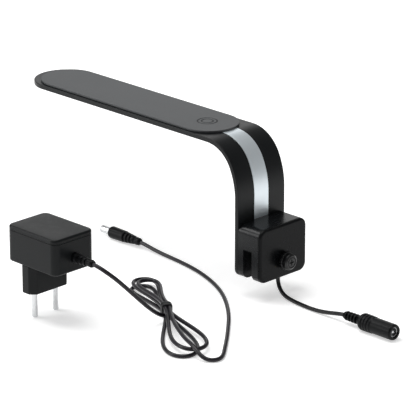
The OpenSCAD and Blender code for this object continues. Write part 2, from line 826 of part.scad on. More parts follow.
module cord_hank() {
    color("#1a1b1c")
        translate([0, 0, stand_z + tie_t]) linear_extrude(hank_h) hank_plan();
}

// Band round the hank's waist
module cord_tie() {
    color("#101010") difference() {
        intersection() {
            translate([0, 0, stand_z])
                linear_extrude(hank_h + 2 * tie_t) offset(delta = tie_t) hank_plan();
            translate([tie_pos[0], tie_pos[1], stand_z + hank_h / 2]) rotate([0, 0, tie_angle])
                cube([tie_w, 40, 3 * hank_h], center = true);
        }
        translate([0, 0, stand_z + tie_t]) linear_extrude(hank_h) hank_plan();
    }
}

module plug_cord() {
    color("#1a1b1c") tube(plug_route, cord_d);
}

// ---- DC plug ----

module plug_body() {
    slots = 4;
    grip_x = plug_x0 - plug_relief_l;
    color("#151617") difference() {
        union() {
            cone_x(plug_d / 2 - 0.6, cord_d / 2 + 0.9, grip_x - eps, plug_x0, plug_y, plug_z);
            rod_x(plug_d / 2, plug_tip_x, grip_x, plug_y, plug_z);
        }
        for (i = [0:slots - 1], side = [-1, 1])
            translate([grip_x + 1.6 + 3 * i, plug_y + side * 4.4 - 2, plug_z - 5])
                cube([1.3, 4, 10]);
        rod_x(barrel_d / 2 - root_step, plug_tip_x - 1, plug_tip_x + barrel_root, plug_y, plug_z);
    }
}

module plug_barrel() {
    color("#e4e6e8") difference() {
        union() {
            rod_x(barrel_d / 2, plug_tip_x - barrel_len, plug_tip_x, plug_y, plug_z);
            rod_x(barrel_d / 2 - root_step, plug_tip_x - eps, plug_tip_x + barrel_root,
                  plug_y, plug_z);
        }
        rod_x(barrel_d / 2 - barrel_wall, plug_tip_x - barrel_len - 1, plug_tip_x + barrel_root - 0.5,
              plug_y, plug_z);
    }
}

// Insulating core with the bore for the socket's pin
module plug_insert() {
    color("#cfd3d5") difference() {
        rod_x(barrel_d / 2 - barrel_wall, plug_tip_x - barrel_len + 0.3,
              plug_tip_x + barrel_root - 0.5, plug_y, plug_z);
        rod_x(plug_pin_bore_r, plug_tip_x - barrel_len - 1, plug_tip_x, plug_y, plug_z);
    }
}

arm_shell();
head_cover();
touch_board();
touch_spring();
trim_strip();
flex_lead();
led_board();
led_chips();
lens();
clamp_block();
front_plate();
threaded_insert();
jaw_facing();
control_board();
board_parts();
supply_wires();
lead_grommet();
lead_cord();
socket_body();
socket_contact();
socket_pin();
pressure_pad();
pad_facing();
clamp_screw();
screw_knob();
case_tub();
case_lid();
plug_block();
mains_pins();
adapter_board();
transformer();
capacitors();
cord_relief();
adapter_cord();
cord_hank();
cord_tie();
plug_cord();
plug_body();
plug_barrel();
plug_insert();
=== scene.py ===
import json
import math

import bmesh
import bpy
from bpy.props import FloatProperty, FloatVectorProperty, IntProperty, PointerProperty
from mathutils import Matrix, Vector


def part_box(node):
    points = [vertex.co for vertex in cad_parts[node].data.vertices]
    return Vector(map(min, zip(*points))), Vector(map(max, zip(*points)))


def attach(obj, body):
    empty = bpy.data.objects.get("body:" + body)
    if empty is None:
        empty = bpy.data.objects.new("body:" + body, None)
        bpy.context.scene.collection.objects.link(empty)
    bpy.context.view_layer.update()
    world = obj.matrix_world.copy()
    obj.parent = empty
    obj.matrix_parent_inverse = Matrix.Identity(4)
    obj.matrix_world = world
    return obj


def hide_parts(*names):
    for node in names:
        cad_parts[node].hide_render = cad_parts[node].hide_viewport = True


bl_info = {
    "name": "Tank light",
    "version": (1, 0, 0),
    "blender": (4, 5, 0),
    "location": "View3D > Sidebar > Tank light",
    "description": "Builds the looks of a clip-on tank light round its fixed frame",
    "category": "Object",
}

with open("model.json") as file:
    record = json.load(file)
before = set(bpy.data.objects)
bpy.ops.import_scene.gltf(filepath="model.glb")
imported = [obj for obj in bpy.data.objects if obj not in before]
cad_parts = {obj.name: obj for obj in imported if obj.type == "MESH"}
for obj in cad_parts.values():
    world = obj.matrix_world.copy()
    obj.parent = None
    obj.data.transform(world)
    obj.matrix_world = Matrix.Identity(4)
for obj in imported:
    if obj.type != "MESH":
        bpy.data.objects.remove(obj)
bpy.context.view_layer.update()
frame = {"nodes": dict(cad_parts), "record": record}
MM = 0.001


# ---- settings ----


class EdgeSizes(bpy.types.PropertyGroup):
    """How far the edges of the hard pieces are rounded."""

    arm: FloatProperty(name="Arm edge", description="Rounding of the strip's edges",
                       default=0.45 * MM, unit="LENGTH")
    cover: FloatProperty(name="Cover edge", description="Rounding of the cover plate's edges",
                         default=0.4 * MM, unit="LENGTH")
    block: FloatProperty(name="Block edge", description="Rounding of the clamp block's edges",
                         default=0.5 * MM, unit="LENGTH")
    rim: FloatProperty(name="Plate rim", description="Rounding of the front plate's rim",
                       default=1.7 * MM, unit="LENGTH")
    case: FloatProperty(name="Case edge", description="Rounding of the adapter case's edges",
                        default=1.5 * MM, unit="LENGTH")
    seam: FloatProperty(name="Seam", description="Half width of the grooves where shells meet",
                        default=0.3 * MM, unit="LENGTH")


class CordSizes(bpy.types.PropertyGroup):
    """The lead, the adapter's cord and the hank that it is tied in."""

    diameter: FloatProperty(name="Cord", description="Diameter of both cords",
                            default=2.9 * MM, unit="LENGTH")
    sunk: FloatProperty(name="Sunk end", description="How far a cord runs on inside its relief",
                        default=6 * MM, unit="LENGTH")
    tie_width: FloatProperty(name="Tie", description="Width of one turn of the tie",
                             default=2.7 * MM, unit="LENGTH")
    tie_thickness: FloatProperty(name="Tie thickness", description="Thickness of the tie",
                                 default=0.7 * MM, unit="LENGTH")


class ScrewSizes(bpy.types.PropertyGroup):
    """The clamp screw and its knob."""

    pitch: FloatProperty(name="Pitch", description="Pitch of the thread",
                         default=0.8 * MM, unit="LENGTH")
    depth: FloatProperty(name="Thread depth", description="Depth of the thread",
                         default=0.4 * MM, unit="LENGTH")
    flutes: IntProperty(name="Flutes", description="Flutes round the knob's collar", default=18)


class Colours(bpy.types.PropertyGroup):
    """Base colours of the finishes."""

    arm: FloatVectorProperty(name="Arm", description="Bent strip", subtype="COLOR",
                             default=(0.0055, 0.0064, 0.0072))
    cover: FloatVectorProperty(name="Cover", description="Plate over the head", subtype="COLOR",
                               default=(0.055, 0.059, 0.062))
    trim: FloatVectorProperty(name="Trim", description="Bright strip", subtype="COLOR",
                              default=(0.83, 0.90, 0.94))
    clamp: FloatVectorProperty(name="Clamp", description="Clamp block and pad", subtype="COLOR",
                               default=(0.0065, 0.0073, 0.0082))
    knob: FloatVectorProperty(name="Knob", description="Knob and mouldings", subtype="COLOR",
                              default=(0.004, 0.0044, 0.005))
    case: FloatVectorProperty(name="Case", description="Adapter case", subtype="COLOR",
                              default=(0.0062, 0.0072, 0.0078))
    cord: FloatVectorProperty(name="Cord", description="Cord sheath", subtype="COLOR",
                              default=(0.005, 0.0052, 0.0062))
    floor: FloatVectorProperty(name="Floor", description="Floor and backdrop", subtype="COLOR",
                               default=(0.93, 0.93, 0.93))


class Studio(bpy.types.PropertyGroup):
    """Camera and light."""

    target: FloatVectorProperty(name="Target", description="Point that the camera looks at",
                                default=(0.0131, -0.0741, 0.0479), subtype="TRANSLATION")
    distance: FloatProperty(name="Distance", description="Camera's distance from its target",
                            default=2.0, unit="LENGTH")
    azimuth: FloatProperty(name="Azimuth", description="Camera's angle round the object",
                           default=math.radians(45.14), subtype="ANGLE")
    elevation: FloatProperty(name="Elevation", description="Camera's angle above the floor",
                             default=math.radians(19.86), subtype="ANGLE")
    lens: FloatProperty(name="Lens", description="Focal length in millimetres on a 36 mm sensor",
                        default=259.6)
    floor_half: FloatProperty(name="Floor", description="Half the floor's side", default=6.0,
                              unit="LENGTH")
    world: FloatProperty(name="Surround", description="Strength of the even surround", default=0.26)
    key: FloatProperty(name="Key", description="Power of the overhead light", default=14.0)
    side: FloatProperty(name="Side", description="Power of the light on the left", default=7.0)
    rim: FloatProperty(name="Rim", description="Power of the light on the upper edges", default=4.0)
    back: FloatProperty(name="Back", description="Power of the light behind", default=3.2)


class TankLight(bpy.types.PropertyGroup):
    """All the settings of the tank light."""

    edges: PointerProperty(type=EdgeSizes)
    cords: PointerProperty(type=CordSizes)
    screw: PointerProperty(type=ScrewSizes)
    colours: PointerProperty(type=Colours)
    studio: PointerProperty(type=Studio)


# ---- shader writing ----


class Wire:
    """A socket in a material, whose arithmetic adds the nodes that it needs."""

    def __init__(self, finish, socket):
        self.finish = finish
        self.socket = socket

    def joined(self, operation, first, second):
        vector = self.socket.type == "VECTOR"
        kind = "ShaderNodeVectorMath" if vector else "ShaderNodeMath"
        if vector:
            first, second = ((v,) * 3 if isinstance(v, (int, float)) else v for v in (first, second))
        return self.finish.node(kind, {"operation": operation}, {0: first, 1: second})

    def __add__(self, other):
        return self.joined("ADD", self, other)

    def __sub__(self, other):
        return self.joined("SUBTRACT", self, other)

    def __rsub__(self, other):
        return self.joined("SUBTRACT", other, self)

    def __mul__(self, other):
        return self.joined("MULTIPLY", self, other)

    __radd__ = __add__
    __rmul__ = __mul__


class Finish:
    """A material round one Principled shader."""

    def __init__(self, name):
        self.material = bpy.data.materials.new(name)
        self.material.use_nodes = True
        self.tree = self.material.node_tree
        self.shader = self.tree.nodes["Principled BSDF"]

    def plug(self, socket, value):
        """Links a wire to a socket, or sets the socket's own value."""
        if isinstance(value, Wire):
            self.tree.links.new(value.socket, socket)
        else:
            socket.default_value = value

    def node(self, kind, settings=None, inputs=None, out=0):
        """Adds a node: its settings first, then the values or wires of its sockets."""
        made = self.tree.nodes.new(kind)
        for name, value in (settings or {}).items():
            if name == "stops":
                ramp = made.color_ramp
                while len(ramp.elements) < len(value):
                    ramp.elements.new(1.0)
                for element, (place, level) in zip(ramp.elements, value):
                    element.position = place
                    element.color = (level, level, level, 1.0)
            else:
                setattr(made, name, value)
        for name, value in (inputs or {}).items():
            self.plug(made.inputs[name], value)
        return Wire(self, made.outputs[out])

    def shade(self, **sockets):
        """Sets the shader's sockets; an underscore stands for a space."""
        for name, value in sockets.items():
            self.plug(self.shader.inputs[name.replace("_", " ")], value)
        return self.material

    def place(self, stretch=(1.0, 1.0, 1.0)):
        """Object coordinates in metres, stretched by a factor along each axis."""
        return self.node("ShaderNodeTexCoord", out="Object") * stretch

    def noise(self, vector, scale, detail=3.0, rough=0.5):
        return self.node("ShaderNodeTexNoise", None,
                         {"Vector": vector, "Scale": scale, "Detail": detail, "Roughness": rough})

    def ramp(self, value, stops):
        return self.node("ShaderNodeValToRGB", {"stops": stops}, {0: value})

    def blend(self, mask, first, second):
        """Colour mix of first and second."""
        return self.node("ShaderNodeMix", {"data_type": "RGBA"},
                         {0: mask, 6: first, 7: second}, out=2)

    def bump(self, height, distance, strength=1.0):
        return self.node("ShaderNodeBump", None,
                         {"Height": height, "Distance": distance, "Strength": strength})


def colour4(colour, gain=1.0):
    """A colour with its alpha, brightened by gain."""
    return (*(min(1.0, c * gain) for c in colour[:3]), 1.0)


def moulded(name, colour, roughness, specular=0.3, grain=2600.0, relief=0.012 * MM, mottle=0.22):
    """Moulded plastic: spark-eroded grain, soft handling marks and a faint mottle."""
    f = Finish(name)
    at = f.place()
    fine = f.noise(at, grain, 2.0)
    broad = f.noise(at, 55.0, 4.0, 0.6)
    rubbed = f.ramp(f.noise(at, 190.0, 5.0, 0.7), [(0.48, 0.0), (0.72, 1.0)])
    return f.shade(
        Base_Color=f.blend(broad, colour4(colour, 1 - mottle), colour4(colour, 1 + mottle)),
        Roughness=roughness - 0.05 + broad * 0.10 - rubbed * 0.05,
        Normal=f.bump(fine, relief),
        Specular_IOR_Level=specular,
    )


def coated_metal(name, colour, roughness):
    """Sprayed metal plate: fine orange peel, a sparse sparkle and dust in the coat."""
    f = Finish(name)
    at = f.place()
    peel = f.noise(at, 900.0, 4.0, 0.6)
    broad = f.noise(at, 28.0, 4.0, 0.6)
    flecks = f.ramp(f.noise(at, 5200.0, 1.0), [(0.66, 0.0), (0.76, 1.0)])
    base = f.blend(broad, colour4(colour, 0.88), colour4(colour, 1.12))
    return f.shade(
        Base_Color=f.blend(flecks * 0.25, base, colour4(colour, 2.2)),
        Roughness=roughness - 0.04 + broad * 0.08 + peel * 0.04,
        Normal=f.bump(peel, 0.014 * MM),
        Specular_IOR_Level=0.5,
    )


def brushed(name, colour, roughness, along, metallic=1.0, line=9000.0):
    """Brushed metal whose lines run along one axis or plane."""
    f = Finish(name)
    lines = f.noise(f.place(along), line, 2.0, 0.6)
    broad = f.noise(f.place(), 40.0, 3.0)
    return f.shade(
        Base_Color=f.blend(lines * 0.6 + broad * 0.3, colour4(colour, 0.90), colour4(colour, 1.06)),
        Roughness=roughness - 0.05 + lines * 0.10 + broad * 0.04,
        Normal=f.bump(lines, 0.004 * MM),
        Metallic=metallic,
    )


def plated(name, colour, roughness):
    """Plated metal with faint wipe marks and a few tarnished spots."""
    f = Finish(name)
    at = f.place()
    wipe = f.noise(f.place((1.0, 1.0, 0.15)), 1400.0, 3.0)
    spots = f.ramp(f.noise(at, 700.0, 4.0, 0.7), [(0.62, 0.0), (0.8, 1.0)])
    return f.shade(
        Base_Color=f.blend(spots * 0.35, colour4(colour), colour4(colour, 0.6)),
        Roughness=roughness + wipe * 0.08 + spots * 0.12,
        Normal=f.bump(wipe, 0.003 * MM),
        Metallic=1.0,
    )


def vinyl(name, colour, roughness, specular=0.5):
    """Extruded vinyl sheath: slow thickness waves, faint scuffs and a dusty bloom."""
    f = Finish(name)
    at = f.place()
    waves = f.noise(at, 160.0, 2.0)
    scuffs = f.ramp(f.noise(at, 1100.0, 4.0, 0.75), [(0.55, 0.0), (0.75, 1.0)])
    return f.shade(
        Base_Color=f.blend(scuffs * 0.4, colour4(colour), colour4(colour, 2.0)),
        Roughness=roughness + waves * 0.10 + scuffs * 0.10,
        Normal=f.bump(waves + scuffs * 0.2, 0.03 * MM),
        Specular_IOR_Level=specular,
    )


def rubber(name, colour, rib=0.0):
    """Matt rubber, with raised ribs rib metres apart along Z where rib is given."""
    f = Finish(name)
    at = f.place()
    fine = f.noise(at, 1900.0, 4.0, 0.7)
    height = fine * 0.3
    if rib:
        wave = f.node("ShaderNodeTexWave", {"wave_type": "BANDS", "bands_direction": "Z"},
                      {"Vector": at, "Scale": 0.314 / rib, "Distortion": 0.0}, out="Fac")
        height = height + wave
    return f.shade(
        Base_Color=f.blend(fine, colour4(colour, 0.7), colour4(colour, 1.4)),
        Roughness=0.72 + fine * 0.15,
        Normal=f.bump(height, 0.12 * MM, 0.7),
        Specular_IOR_Level=0.25,
    )


def circuit(name, mask_colour, trace_gain=1.6):
    """Circuit board: solder mask over copper traces and tinned pads."""
    f = Finish(name)
    at = f.place()
    cells = f.node("ShaderNodeTexVoronoi", {"feature": "DISTANCE_TO_EDGE"},
                   {"Vector": at, "Scale": 420.0}, out="Distance")
    traces = f.ramp(cells, [(0.03, 1.0), (0.07, 0.0)])
    dots = f.node("ShaderNodeTexVoronoi", {"feature": "F1"},
                  {"Vector": at, "Scale": 300.0}, out="Distance")
    pads = f.ramp(dots, [(0.10, 1.0), (0.16, 0.0)])
    mask = f.blend(traces, colour4(mask_colour), colour4(mask_colour, trace_gain))
    return f.shade(
        Base_Color=f.blend(pads, mask, (0.72, 0.72, 0.70, 1.0)),
        Roughness=0.42 - pads * 0.12,
        Metallic=pads * 0.8,
        Normal=f.bump(traces + pads * 0.5, 0.04 * MM),
    )


def phosphor():
    """LED package: a speckled yellow phosphor."""
    f = Finish("led_phosphor")
    speck = f.noise(f.place(), 3000.0, 3.0)
    return f.shade(
        Base_Color=f.blend(speck, (0.86, 0.62, 0.14, 1.0), (0.95, 0.84, 0.40, 1.0)),
        Roughness=0.38 + speck * 0.2,
        Normal=f.bump(speck, 0.02 * MM),
    )


def frosted():
    """Frosted clear window."""
    f = Finish("window_frost")
    haze = f.noise(f.place(), 1500.0, 4.0, 0.6)
    return f.shade(
        Base_Color=f.blend(haze, (0.80, 0.83, 0.85, 1.0), (0.93, 0.95, 0.96, 1.0)),
        Roughness=0.26 + haze * 0.12,
        Normal=f.bump(haze, 0.01 * MM),
        Transmission_Weight=0.78,
        IOR=1.49,
    )


def wound(name, colour, turns_per_metre, stripe_colour):
    """Tape or wire wound round a part, in bands along X."""
    f = Finish(name)
    at = f.place()
    wave = f.node("ShaderNodeTexWave", {"wave_type": "BANDS", "bands_direction": "X"},
                  {"Vector": at, "Scale": turns_per_metre * 0.314, "Distortion": 0.4}, out="Fac")
    return f.shade(
        Base_Color=f.blend(wave, colour4(colour), colour4(stripe_colour)),
        Roughness=0.45 + wave * 0.15,
        Normal=f.bump(wave, 0.1 * MM),
    )


def floor_finish(colour):
    """Pale studio floor with the faintest unevenness."""
    f = Finish("studio_floor")
    broad = f.noise(f.place(), 2.0, 2.0)
    return f.shade(
        Base_Color=f.blend(broad, colour4(colour, 0.99), colour4(colour, 1.01)),
        Roughness=0.9 + broad * 0.05,
        Specular_IOR_Level=0.0,
        Emission_Color=(1.0, 1.0, 1.0, 1.0),
        Emission_Strength=0.46,
    )


MATERIALS = {}


def make_materials(c):
    """Every finish, by name. Most names are the record's slots."""
    MATERIALS.update(
        arm_black=moulded("arm_black", c.arm, 0.36, 0.20, 2400.0, 0.008 * MM),
        cover_graphite=coated_metal("cover_graphite", c.cover, 0.50),
        trim_silver=brushed("trim_silver", c.trim, 0.34, (0.02, 1.0, 0.02), 0.75),
        clamp_black=moulded("clamp_black", c.clamp, 0.27, 0.22, 2200.0, 0.005 * MM),
        # The front plate's finish is the clamp's black plastic made darker and less specular:
        # painted shade for its front face, which is turned away from the lights.
        plate_black=moulded("plate_black", c.knob, 0.30, 0.10, 2200.0, 0.006 * MM),
        knob_black=moulded("knob_black", c.knob, 0.34, 0.4, 2800.0, 0.006 * MM),
        soft_rubber=rubber("soft_rubber", (0.012, 0.012, 0.013), 1.6 * MM),
        mould_black=vinyl("mould_black", c.knob, 0.30, 0.12),
        cord_black=vinyl("cord_black", c.cord, 0.24, 0.28),
        hank_black=vinyl("hank_black", (0.0075, 0.006, 0.0095), 0.28, 0.36),
        case_black=moulded("case_black", c.case, 0.37, 0.15, 1700.0, 0.014 * MM),
        tie_black=vinyl("tie_black", (0.006, 0.006, 0.007), 0.38, 0.4),
        pin_nickel=plated("pin_nickel", (0.62, 0.63, 0.64), 0.24),
        contact_metal=plated("contact_metal", (0.72, 0.73, 0.74), 0.24),
        screw_steel=plated("screw_steel", (0.56, 0.57, 0.60), 0.28),
        insert_brass=plated("insert_brass", (0.74, 0.56, 0.25), 0.26),
        insert_white=moulded("insert_white", (0.74, 0.76, 0.77), 0.45, 0.4, 2000.0, 0.01 * MM, 0.05),
        board_green=circuit("board_green", (0.012, 0.13, 0.05)),
        board_white=circuit("board_white", (0.78, 0.79, 0.78), 0.9),
        led_yellow=phosphor(),
        window_frost=frosted(),
        ribbon_amber=wound("ribbon_amber", (0.55, 0.27, 0.06), 900.0, (0.72, 0.42, 0.12)),
        wire_red=vinyl("wire_red", (0.42, 0.02, 0.02), 0.35),
        part_black=moulded("part_black", (0.02, 0.02, 0.022), 0.35, 0.5, 3000.0, 0.006 * MM),
        ferrite_tape=wound("ferrite_tape", (0.60, 0.46, 0.10), 500.0, (0.42, 0.30, 0.06)),
        # Near-black matt finish of the rings that paint the shade in the touch mark's grooves.
        mark_black=moulded("mark_black", (0.006, 0.006, 0.007), 0.55, 0.3),
    )


# ---- mesh building ----


def linked(name, data):
    """A new object in the scene."""
    made = bpy.data.objects.new(name, data)
    bpy.context.scene.collection.objects.link(made)
    return made


def plain(name, vertices, faces):
    """A bare mesh object with its faces turned outwards."""
    mesh = bpy.data.meshes.new(name)
    mesh.from_pydata(vertices, [], faces)
    work = bmesh.new()
    work.from_mesh(mesh)
    bmesh.ops.recalc_face_normals(work, faces=work.faces)
    work.to_mesh(mesh)
    work.free()
    return linked(name, mesh)


def piece(name, vertices, faces, body, slot, node=(), finish=None, angle=34.0):
    """A finished mesh piece: smooth shaded, with the material of its finish or slot, and its body.
    """
    return finished(plain(name, vertices, faces), body, slot, node, finish, angle)


def finished(made, body, slot, node=(), finish=None, angle=34.0):
    """Shading, material (its finish, else its slot's) and body of a mesh object."""
    mesh = made.data
    mesh.polygons.foreach_set("use_smooth", [True] * len(mesh.polygons))
    mesh.set_sharp_from_angle(angle=math.radians(angle))
    mesh.materials.clear()
    mesh.materials.append(MATERIALS[finish or slot])
    if not any(m.type == "WEIGHTED_NORMAL" for m in made.modifiers):
        weighted = made.modifiers.new("even_normals", "WEIGHTED_NORMAL")
        weighted.keep_sharp = True
    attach(made, body)
    if node:
        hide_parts(*([node] if isinstance(node, str) else node))
    return made


def cut(made, cutter):
    """Takes the cutter out of a piece, and removes it."""
    others = list(made.modifiers)
    for other in others:
        other.show_viewport = False
    taken = made.modifiers.new("cut", "BOOLEAN")
    taken.operation = "DIFFERENCE"
    taken.solver = "EXACT"
    taken.object = cutter
    bpy.context.view_layer.update()
    view = bpy.context.evaluated_depsgraph_get()
    result = bpy.data.meshes.new_from_object(made.evaluated_get(view))
    made.modifiers.remove(taken)
    for other in others:
        other.show_viewport = True
    made.data = result
    bpy.data.objects.remove(cutter)


def mm_from(start, *corners):
    """Profile corners given in millimetres from start: place, radius, rounding."""
    return [(start + place * MM, radius * MM, fillet * MM) for place, radius, fillet in corners]


def round_x(node):
    """A node's box and the place in Y and Z of its middle line along X."""
    low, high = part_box(node)
    return low, high, ((low.y + high.y) / 2, (low.z + high.z) / 2)


def rounding(radius, steps=5):
    """Pairs of depth and inset round an edge, from its side to its face."""
    turns = [math.pi / 2 * k / steps for k in range(steps + 1)]
    return [(radius * (1 - math.sin(t)), radius * (1 - math.cos(t))) for t in turns]


def rectangle(low, high):
    """Corners of a rectangle about its middle, from its sides."""
    w, h = (high[0] - low[0]) / 2, (high[1] - low[1]) / 2
    return [(-w, -h), (w, -h), (w, h), (-w, h)]


def filleted(points, closed=False, steps=6):
    """A line of (a, b, radius) corners as points, with each corner turned into an arc."""
    out = []
    for i, (a, b, radius) in enumerate(points):
        here = Vector((a, b))
        if radius <= 0 or (not closed and i in (0, len(points) - 1)):
            out.append(here)
            continue
        back = Vector(points[i - 1][:2]) - here
        ahead = Vector(points[(i + 1) % len(points)][:2]) - here
        half = back.angle(ahead) / 2
        reach = min(radius / math.tan(half), 0.48 * back.length, 0.48 * ahead.length)
        back.normalize()
        ahead.normalize()
        radius = reach * math.tan(half)
        centre = here + (back + ahead).normalized() * (radius / math.sin(half))
        first = here + back * reach - centre
        sweep = math.pi - 2 * half
        if back.x * ahead.y - back.y * ahead.x > 0:
            sweep = -sweep
        for k in range(steps + 1):
            out.append(centre + Matrix.Rotation(sweep * k / steps, 2) @ first)
    return out


def loft(rings, first_cap=True, last_cap=True, closed=False):
    """Vertices and faces of a skin through rings of equal length."""
    count = len(rings[0])
    vertices = [tuple(p) for ring in rings for p in ring]
    faces = []
    last = len(rings) if closed else len(rings) - 1
    for i in range(last):
        a, b = i * count, (i + 1) % len(rings) * count
        for k in range(count):
            n = (k + 1) % count
            faces.append((a + k, a + n, b + n, b + k))
    if first_cap and not closed:
        faces.append(tuple(range(count)))
    if last_cap and not closed:
        faces.append(tuple(range((len(rings) - 1) * count, len(rings) * count)))
    return vertices, faces


def turned(profile, axis, centre, sides=72, shape=None, closed=False):
    """Vertices and faces of a profile of (place, radius) points turned about an axis.

    axis is X or Z, centre the two coordinates across it, and shape(place, radius, angle)
    may change the radius. A radius of 0 at an end closes it in a point."""
    rings = []
    for place, radius in profile:
        ring = []
        for k in range(sides):
            angle = math.tau * k / sides
            r = shape(place, radius, angle) if shape else radius
            across = (centre[0] + r * math.cos(angle), centre[1] + r * math.sin(angle))
            ring.append((place, *across) if axis == "X" else (*across, place))
        rings.append(ring)
    poles = (not closed and profile[0][1] == 0, not closed and profile[-1][1] == 0)
    inner = rings[1 if poles[0] else 0:len(rings) - 1 if poles[1] else len(rings)]
    vertices, faces = loft(inner, not poles[0], not poles[1], closed)
    for end, pole in enumerate(poles):
        if pole:
            vertices.append(rings[0 if end == 0 else -1][0])
            base = 0 if end == 0 else (len(inner) - 1) * sides
            faces += [(base + k, base + (k + 1) % sides, len(vertices) - 1) for k in range(sides)]
    return vertices, faces


def joined(*parts):
    """Several (vertices, faces) pairs as one."""
    vertices, faces = [], []
    for more_vertices, more_faces in parts:
        start = len(vertices)
        vertices += list(more_vertices)
        faces += [tuple(start + i for i in face) for face in more_faces]
    return vertices, faces


def inset_corners(corners, inset, radius):
    """Convex corners moved in by inset, as (a, b, radius) corners for filleted."""
    count = len(corners)
    middle = sum((Vector(c) for c in corners), Vector((0, 0))) / count
    out = []
    for i in range(count):
        here = Vector(corners[i])
        lines = []
        for other in (Vector(corners[i - 1]), Vector(corners[(i + 1) % count])):
            way = (other - here).normalized()
            normal = Vector((-way.y, way.x))
            if normal.dot(middle - here) < 0:
                normal = -normal
            lines.append((way, normal))
        (way, normal), (_, other_normal) = lines
        start = here + normal * inset
        along = (inset - other_normal.dot(start - here)) / other_normal.dot(way)
        corner = start + way * along
        out.append((corner.x, corner.y, max(radius - inset, 0.15 * MM)))
    return out


def softened(node, name, body, slot, width, finish=None, segments=3, sharpest=38.0):
    """The CAD node's own shape with its outer edges rounded."""
    source = frame["nodes"][node].data
    mesh = bpy.data.meshes.new(name)
    mesh.from_pydata([v.co.copy() for v in source.vertices], [],
                     [tuple(p.vertices) for p in source.polygons])
    work = bmesh.new()
    work.from_mesh(mesh)
    bmesh.ops.remove_doubles(work, verts=work.verts, dist=0.003 * MM)
    bmesh.ops.dissolve_limit(work, angle_limit=math.radians(0.7), verts=work.verts, edges=work.edges)
    bmesh.ops.recalc_face_normals(work, faces=work.faces)
    edges = [e for e in work.edges if e.is_manifold and e.is_convex
             and e.calc_face_angle() > math.radians(sharpest)]
    bmesh.ops.bevel(work, geom=edges, offset=width, offset_type="OFFSET", segments=segments,
                    profile=0.5, affect="EDGES", clamp_overlap=True)
    work.to_mesh(mesh)
    work.free()
    return finished(linked(name, mesh), body, slot, node, finish)


def cord_curve(name, points, diameter, finish):
    """A round cord along one smooth open line."""
    curve = bpy.data.curves.new(name, "CURVE")
    curve.dimensions = "3D"
    spline = curve.splines.new("NURBS")
    spline.points.add(len(points) - 1)
    for slot, point in zip(spline.points, points):
        slot.co = (*point, 1.0)
    spline.order_u = 4
    spline.use_endpoint_u = True
    spline.resolution_u = 5
    curve.bevel_depth = diameter / 2
    curve.bevel_resolution = 5
    curve.use_fill_caps = True
    made = linked(name, curve)
    made.data.materials.append(MATERIALS[finish])
    return made


# ---- cord routes ----

FLOOR_Z = -36 * MM

LEAD_ROUTE = [
    (7.2, 0, -18.4), (7.2, 0, -22), (7.2, 0, -25), (8, -0.2, -28.2), (10.5, -1, -31.2),
    (14.5, -2.2, -33.4), (20, -3.4, -34.3), (27, -4.6, -34.5), (35, -5.6, -34.5),
    (43, -6.2, -34.5), (51, -6.4, -34.2), (59, -6.4, -33.2), (67, -6.3, -31.6),
    (72, -6.3, -30.6), (76.5, -6.3, -30),
]
ADAPTER_ROUTE = [
    (-31, -138, 13), (-26, -138, 12.4), (-20.5, -136, 9.6), (-16.5, -131.5, 4.8),
    (-14.4, -125.5, -1.6), (-13.2, -119, -8.4), (-12.4, -112, -15.6), (-11.8, -105, -22.4),
    (-11.4, -98, -28.2), (-11.6, -92.5, -31.4), (-13, -88, -32.6),
]
PLUG_ROUTE = [
    (44, -119.6, -28.2), (49, -121.2, -29.6), (54, -122, -32.2), (59, -121, -34.2),
    (62.8, -117.6, -34.5), (63.6, -112.5, -34.5), (60.2, -106.5, -34.5), (55, -100.4, -34.5),
    (49.6, -94, -34.5), (44, -87.4, -34.5), (38, -80.6, -34.5), (31.4, -73.4, -34.5),
    (24.4, -65.8, -34.5), (17, -58, -34.5), (9.2, -50.6, -34.5), (1.4, -43.8, -34.5),
    (-6.5, -37.4, -34.5), (-14.8, -31.4, -34.5), (-23.4, -26, -34.5), (-32.2, -21.4, -34.5),
    (-41.2, -17.4, -34.5), (-50.4, -14, -34.5), (-59.6, -11.2, -34.5), (-69, -9, -34.5),
    (-78.6, -7.4, -34.5), (-88.2, -6.2, -34.5), (-97.6, -5.4, -34.4), (-106, -5, -34),
    (-113, -5, -33.2), (-119, -5, -32.2), (-125, -5, -31.4),
]
TIE = Vector((-17, -84)) * MM
# Each loop of the hank: its tip, the bend radius there, how late it opens out, and its levels
# at the tie, on the way out, at the tip, on the way back and at the tie again. Folds of the
# tail and loops of the fan take turns; the last way out leads to the plug.
TAIL_FOLDS = [
    ((-69.5, -60.5), 8.0, 4, (0, 0, 0, 0, 0)),
    ((-73.0, -54.5), 8.0, 4, (1, 1, 0.9, 1, 1)),
    ((-63.5, -59.5), 7.6, 4, (2, 2, 2, 2, 2)),
]
FAN_LOOPS = [
    ((44.5, -126.5), 8.2, 2, (0, 0, 0, 0, 1)),
    ((46.0, -117.0), 8.0, 2, (1, 1, 1, 1, 2)),
]
FAN_WAY = Vector((38, -120)) * MM - TIE
LEAVING = [(-6, -90.5), (6, -99.5), (19, -107.5), (32, -114.6)]


def metres(points):
    return [Vector(p) * MM for p in points]


def left_of(way):
    return Vector((-way.y, way.x))


def level_z(level, diameter):
    """Height of a cord's middle on a level of the hank."""
    return FLOOR_Z + diameter * (0.5 + level)


def loop_points(start, loop, diameter):
    """A teardrop from the tie: out on its left, round its tip and back on its right."""
    tip, radius, lateness, levels = loop
    along = Vector(tip) * MM - start
    length = along.length
    along.normalize()
    gap = 0.52 * diameter
    swell = math.sqrt(radius * MM * length / 2) - gap / 2
    points = []
    steps = 28
    for i in range(1, steps):
        t = math.tau * i / steps
        side = swell * math.sin(t) * math.sin(t / 2) ** lateness + gap * math.cos(t / 2)
        at = start + along * (length / 2 * (1 - math.cos(t))) + left_of(along) * side
        whole, part = divmod(4 * i / steps, 1)
        low, high = levels[int(whole)], levels[min(int(whole) + 1, 4)]
        lift = 0.8 * MM * abs(math.cos(t / 2)) ** 6
        points.append(Vector((at.x, at.y, level_z(low + (high - low) * part, diameter) + lift)))
    return points


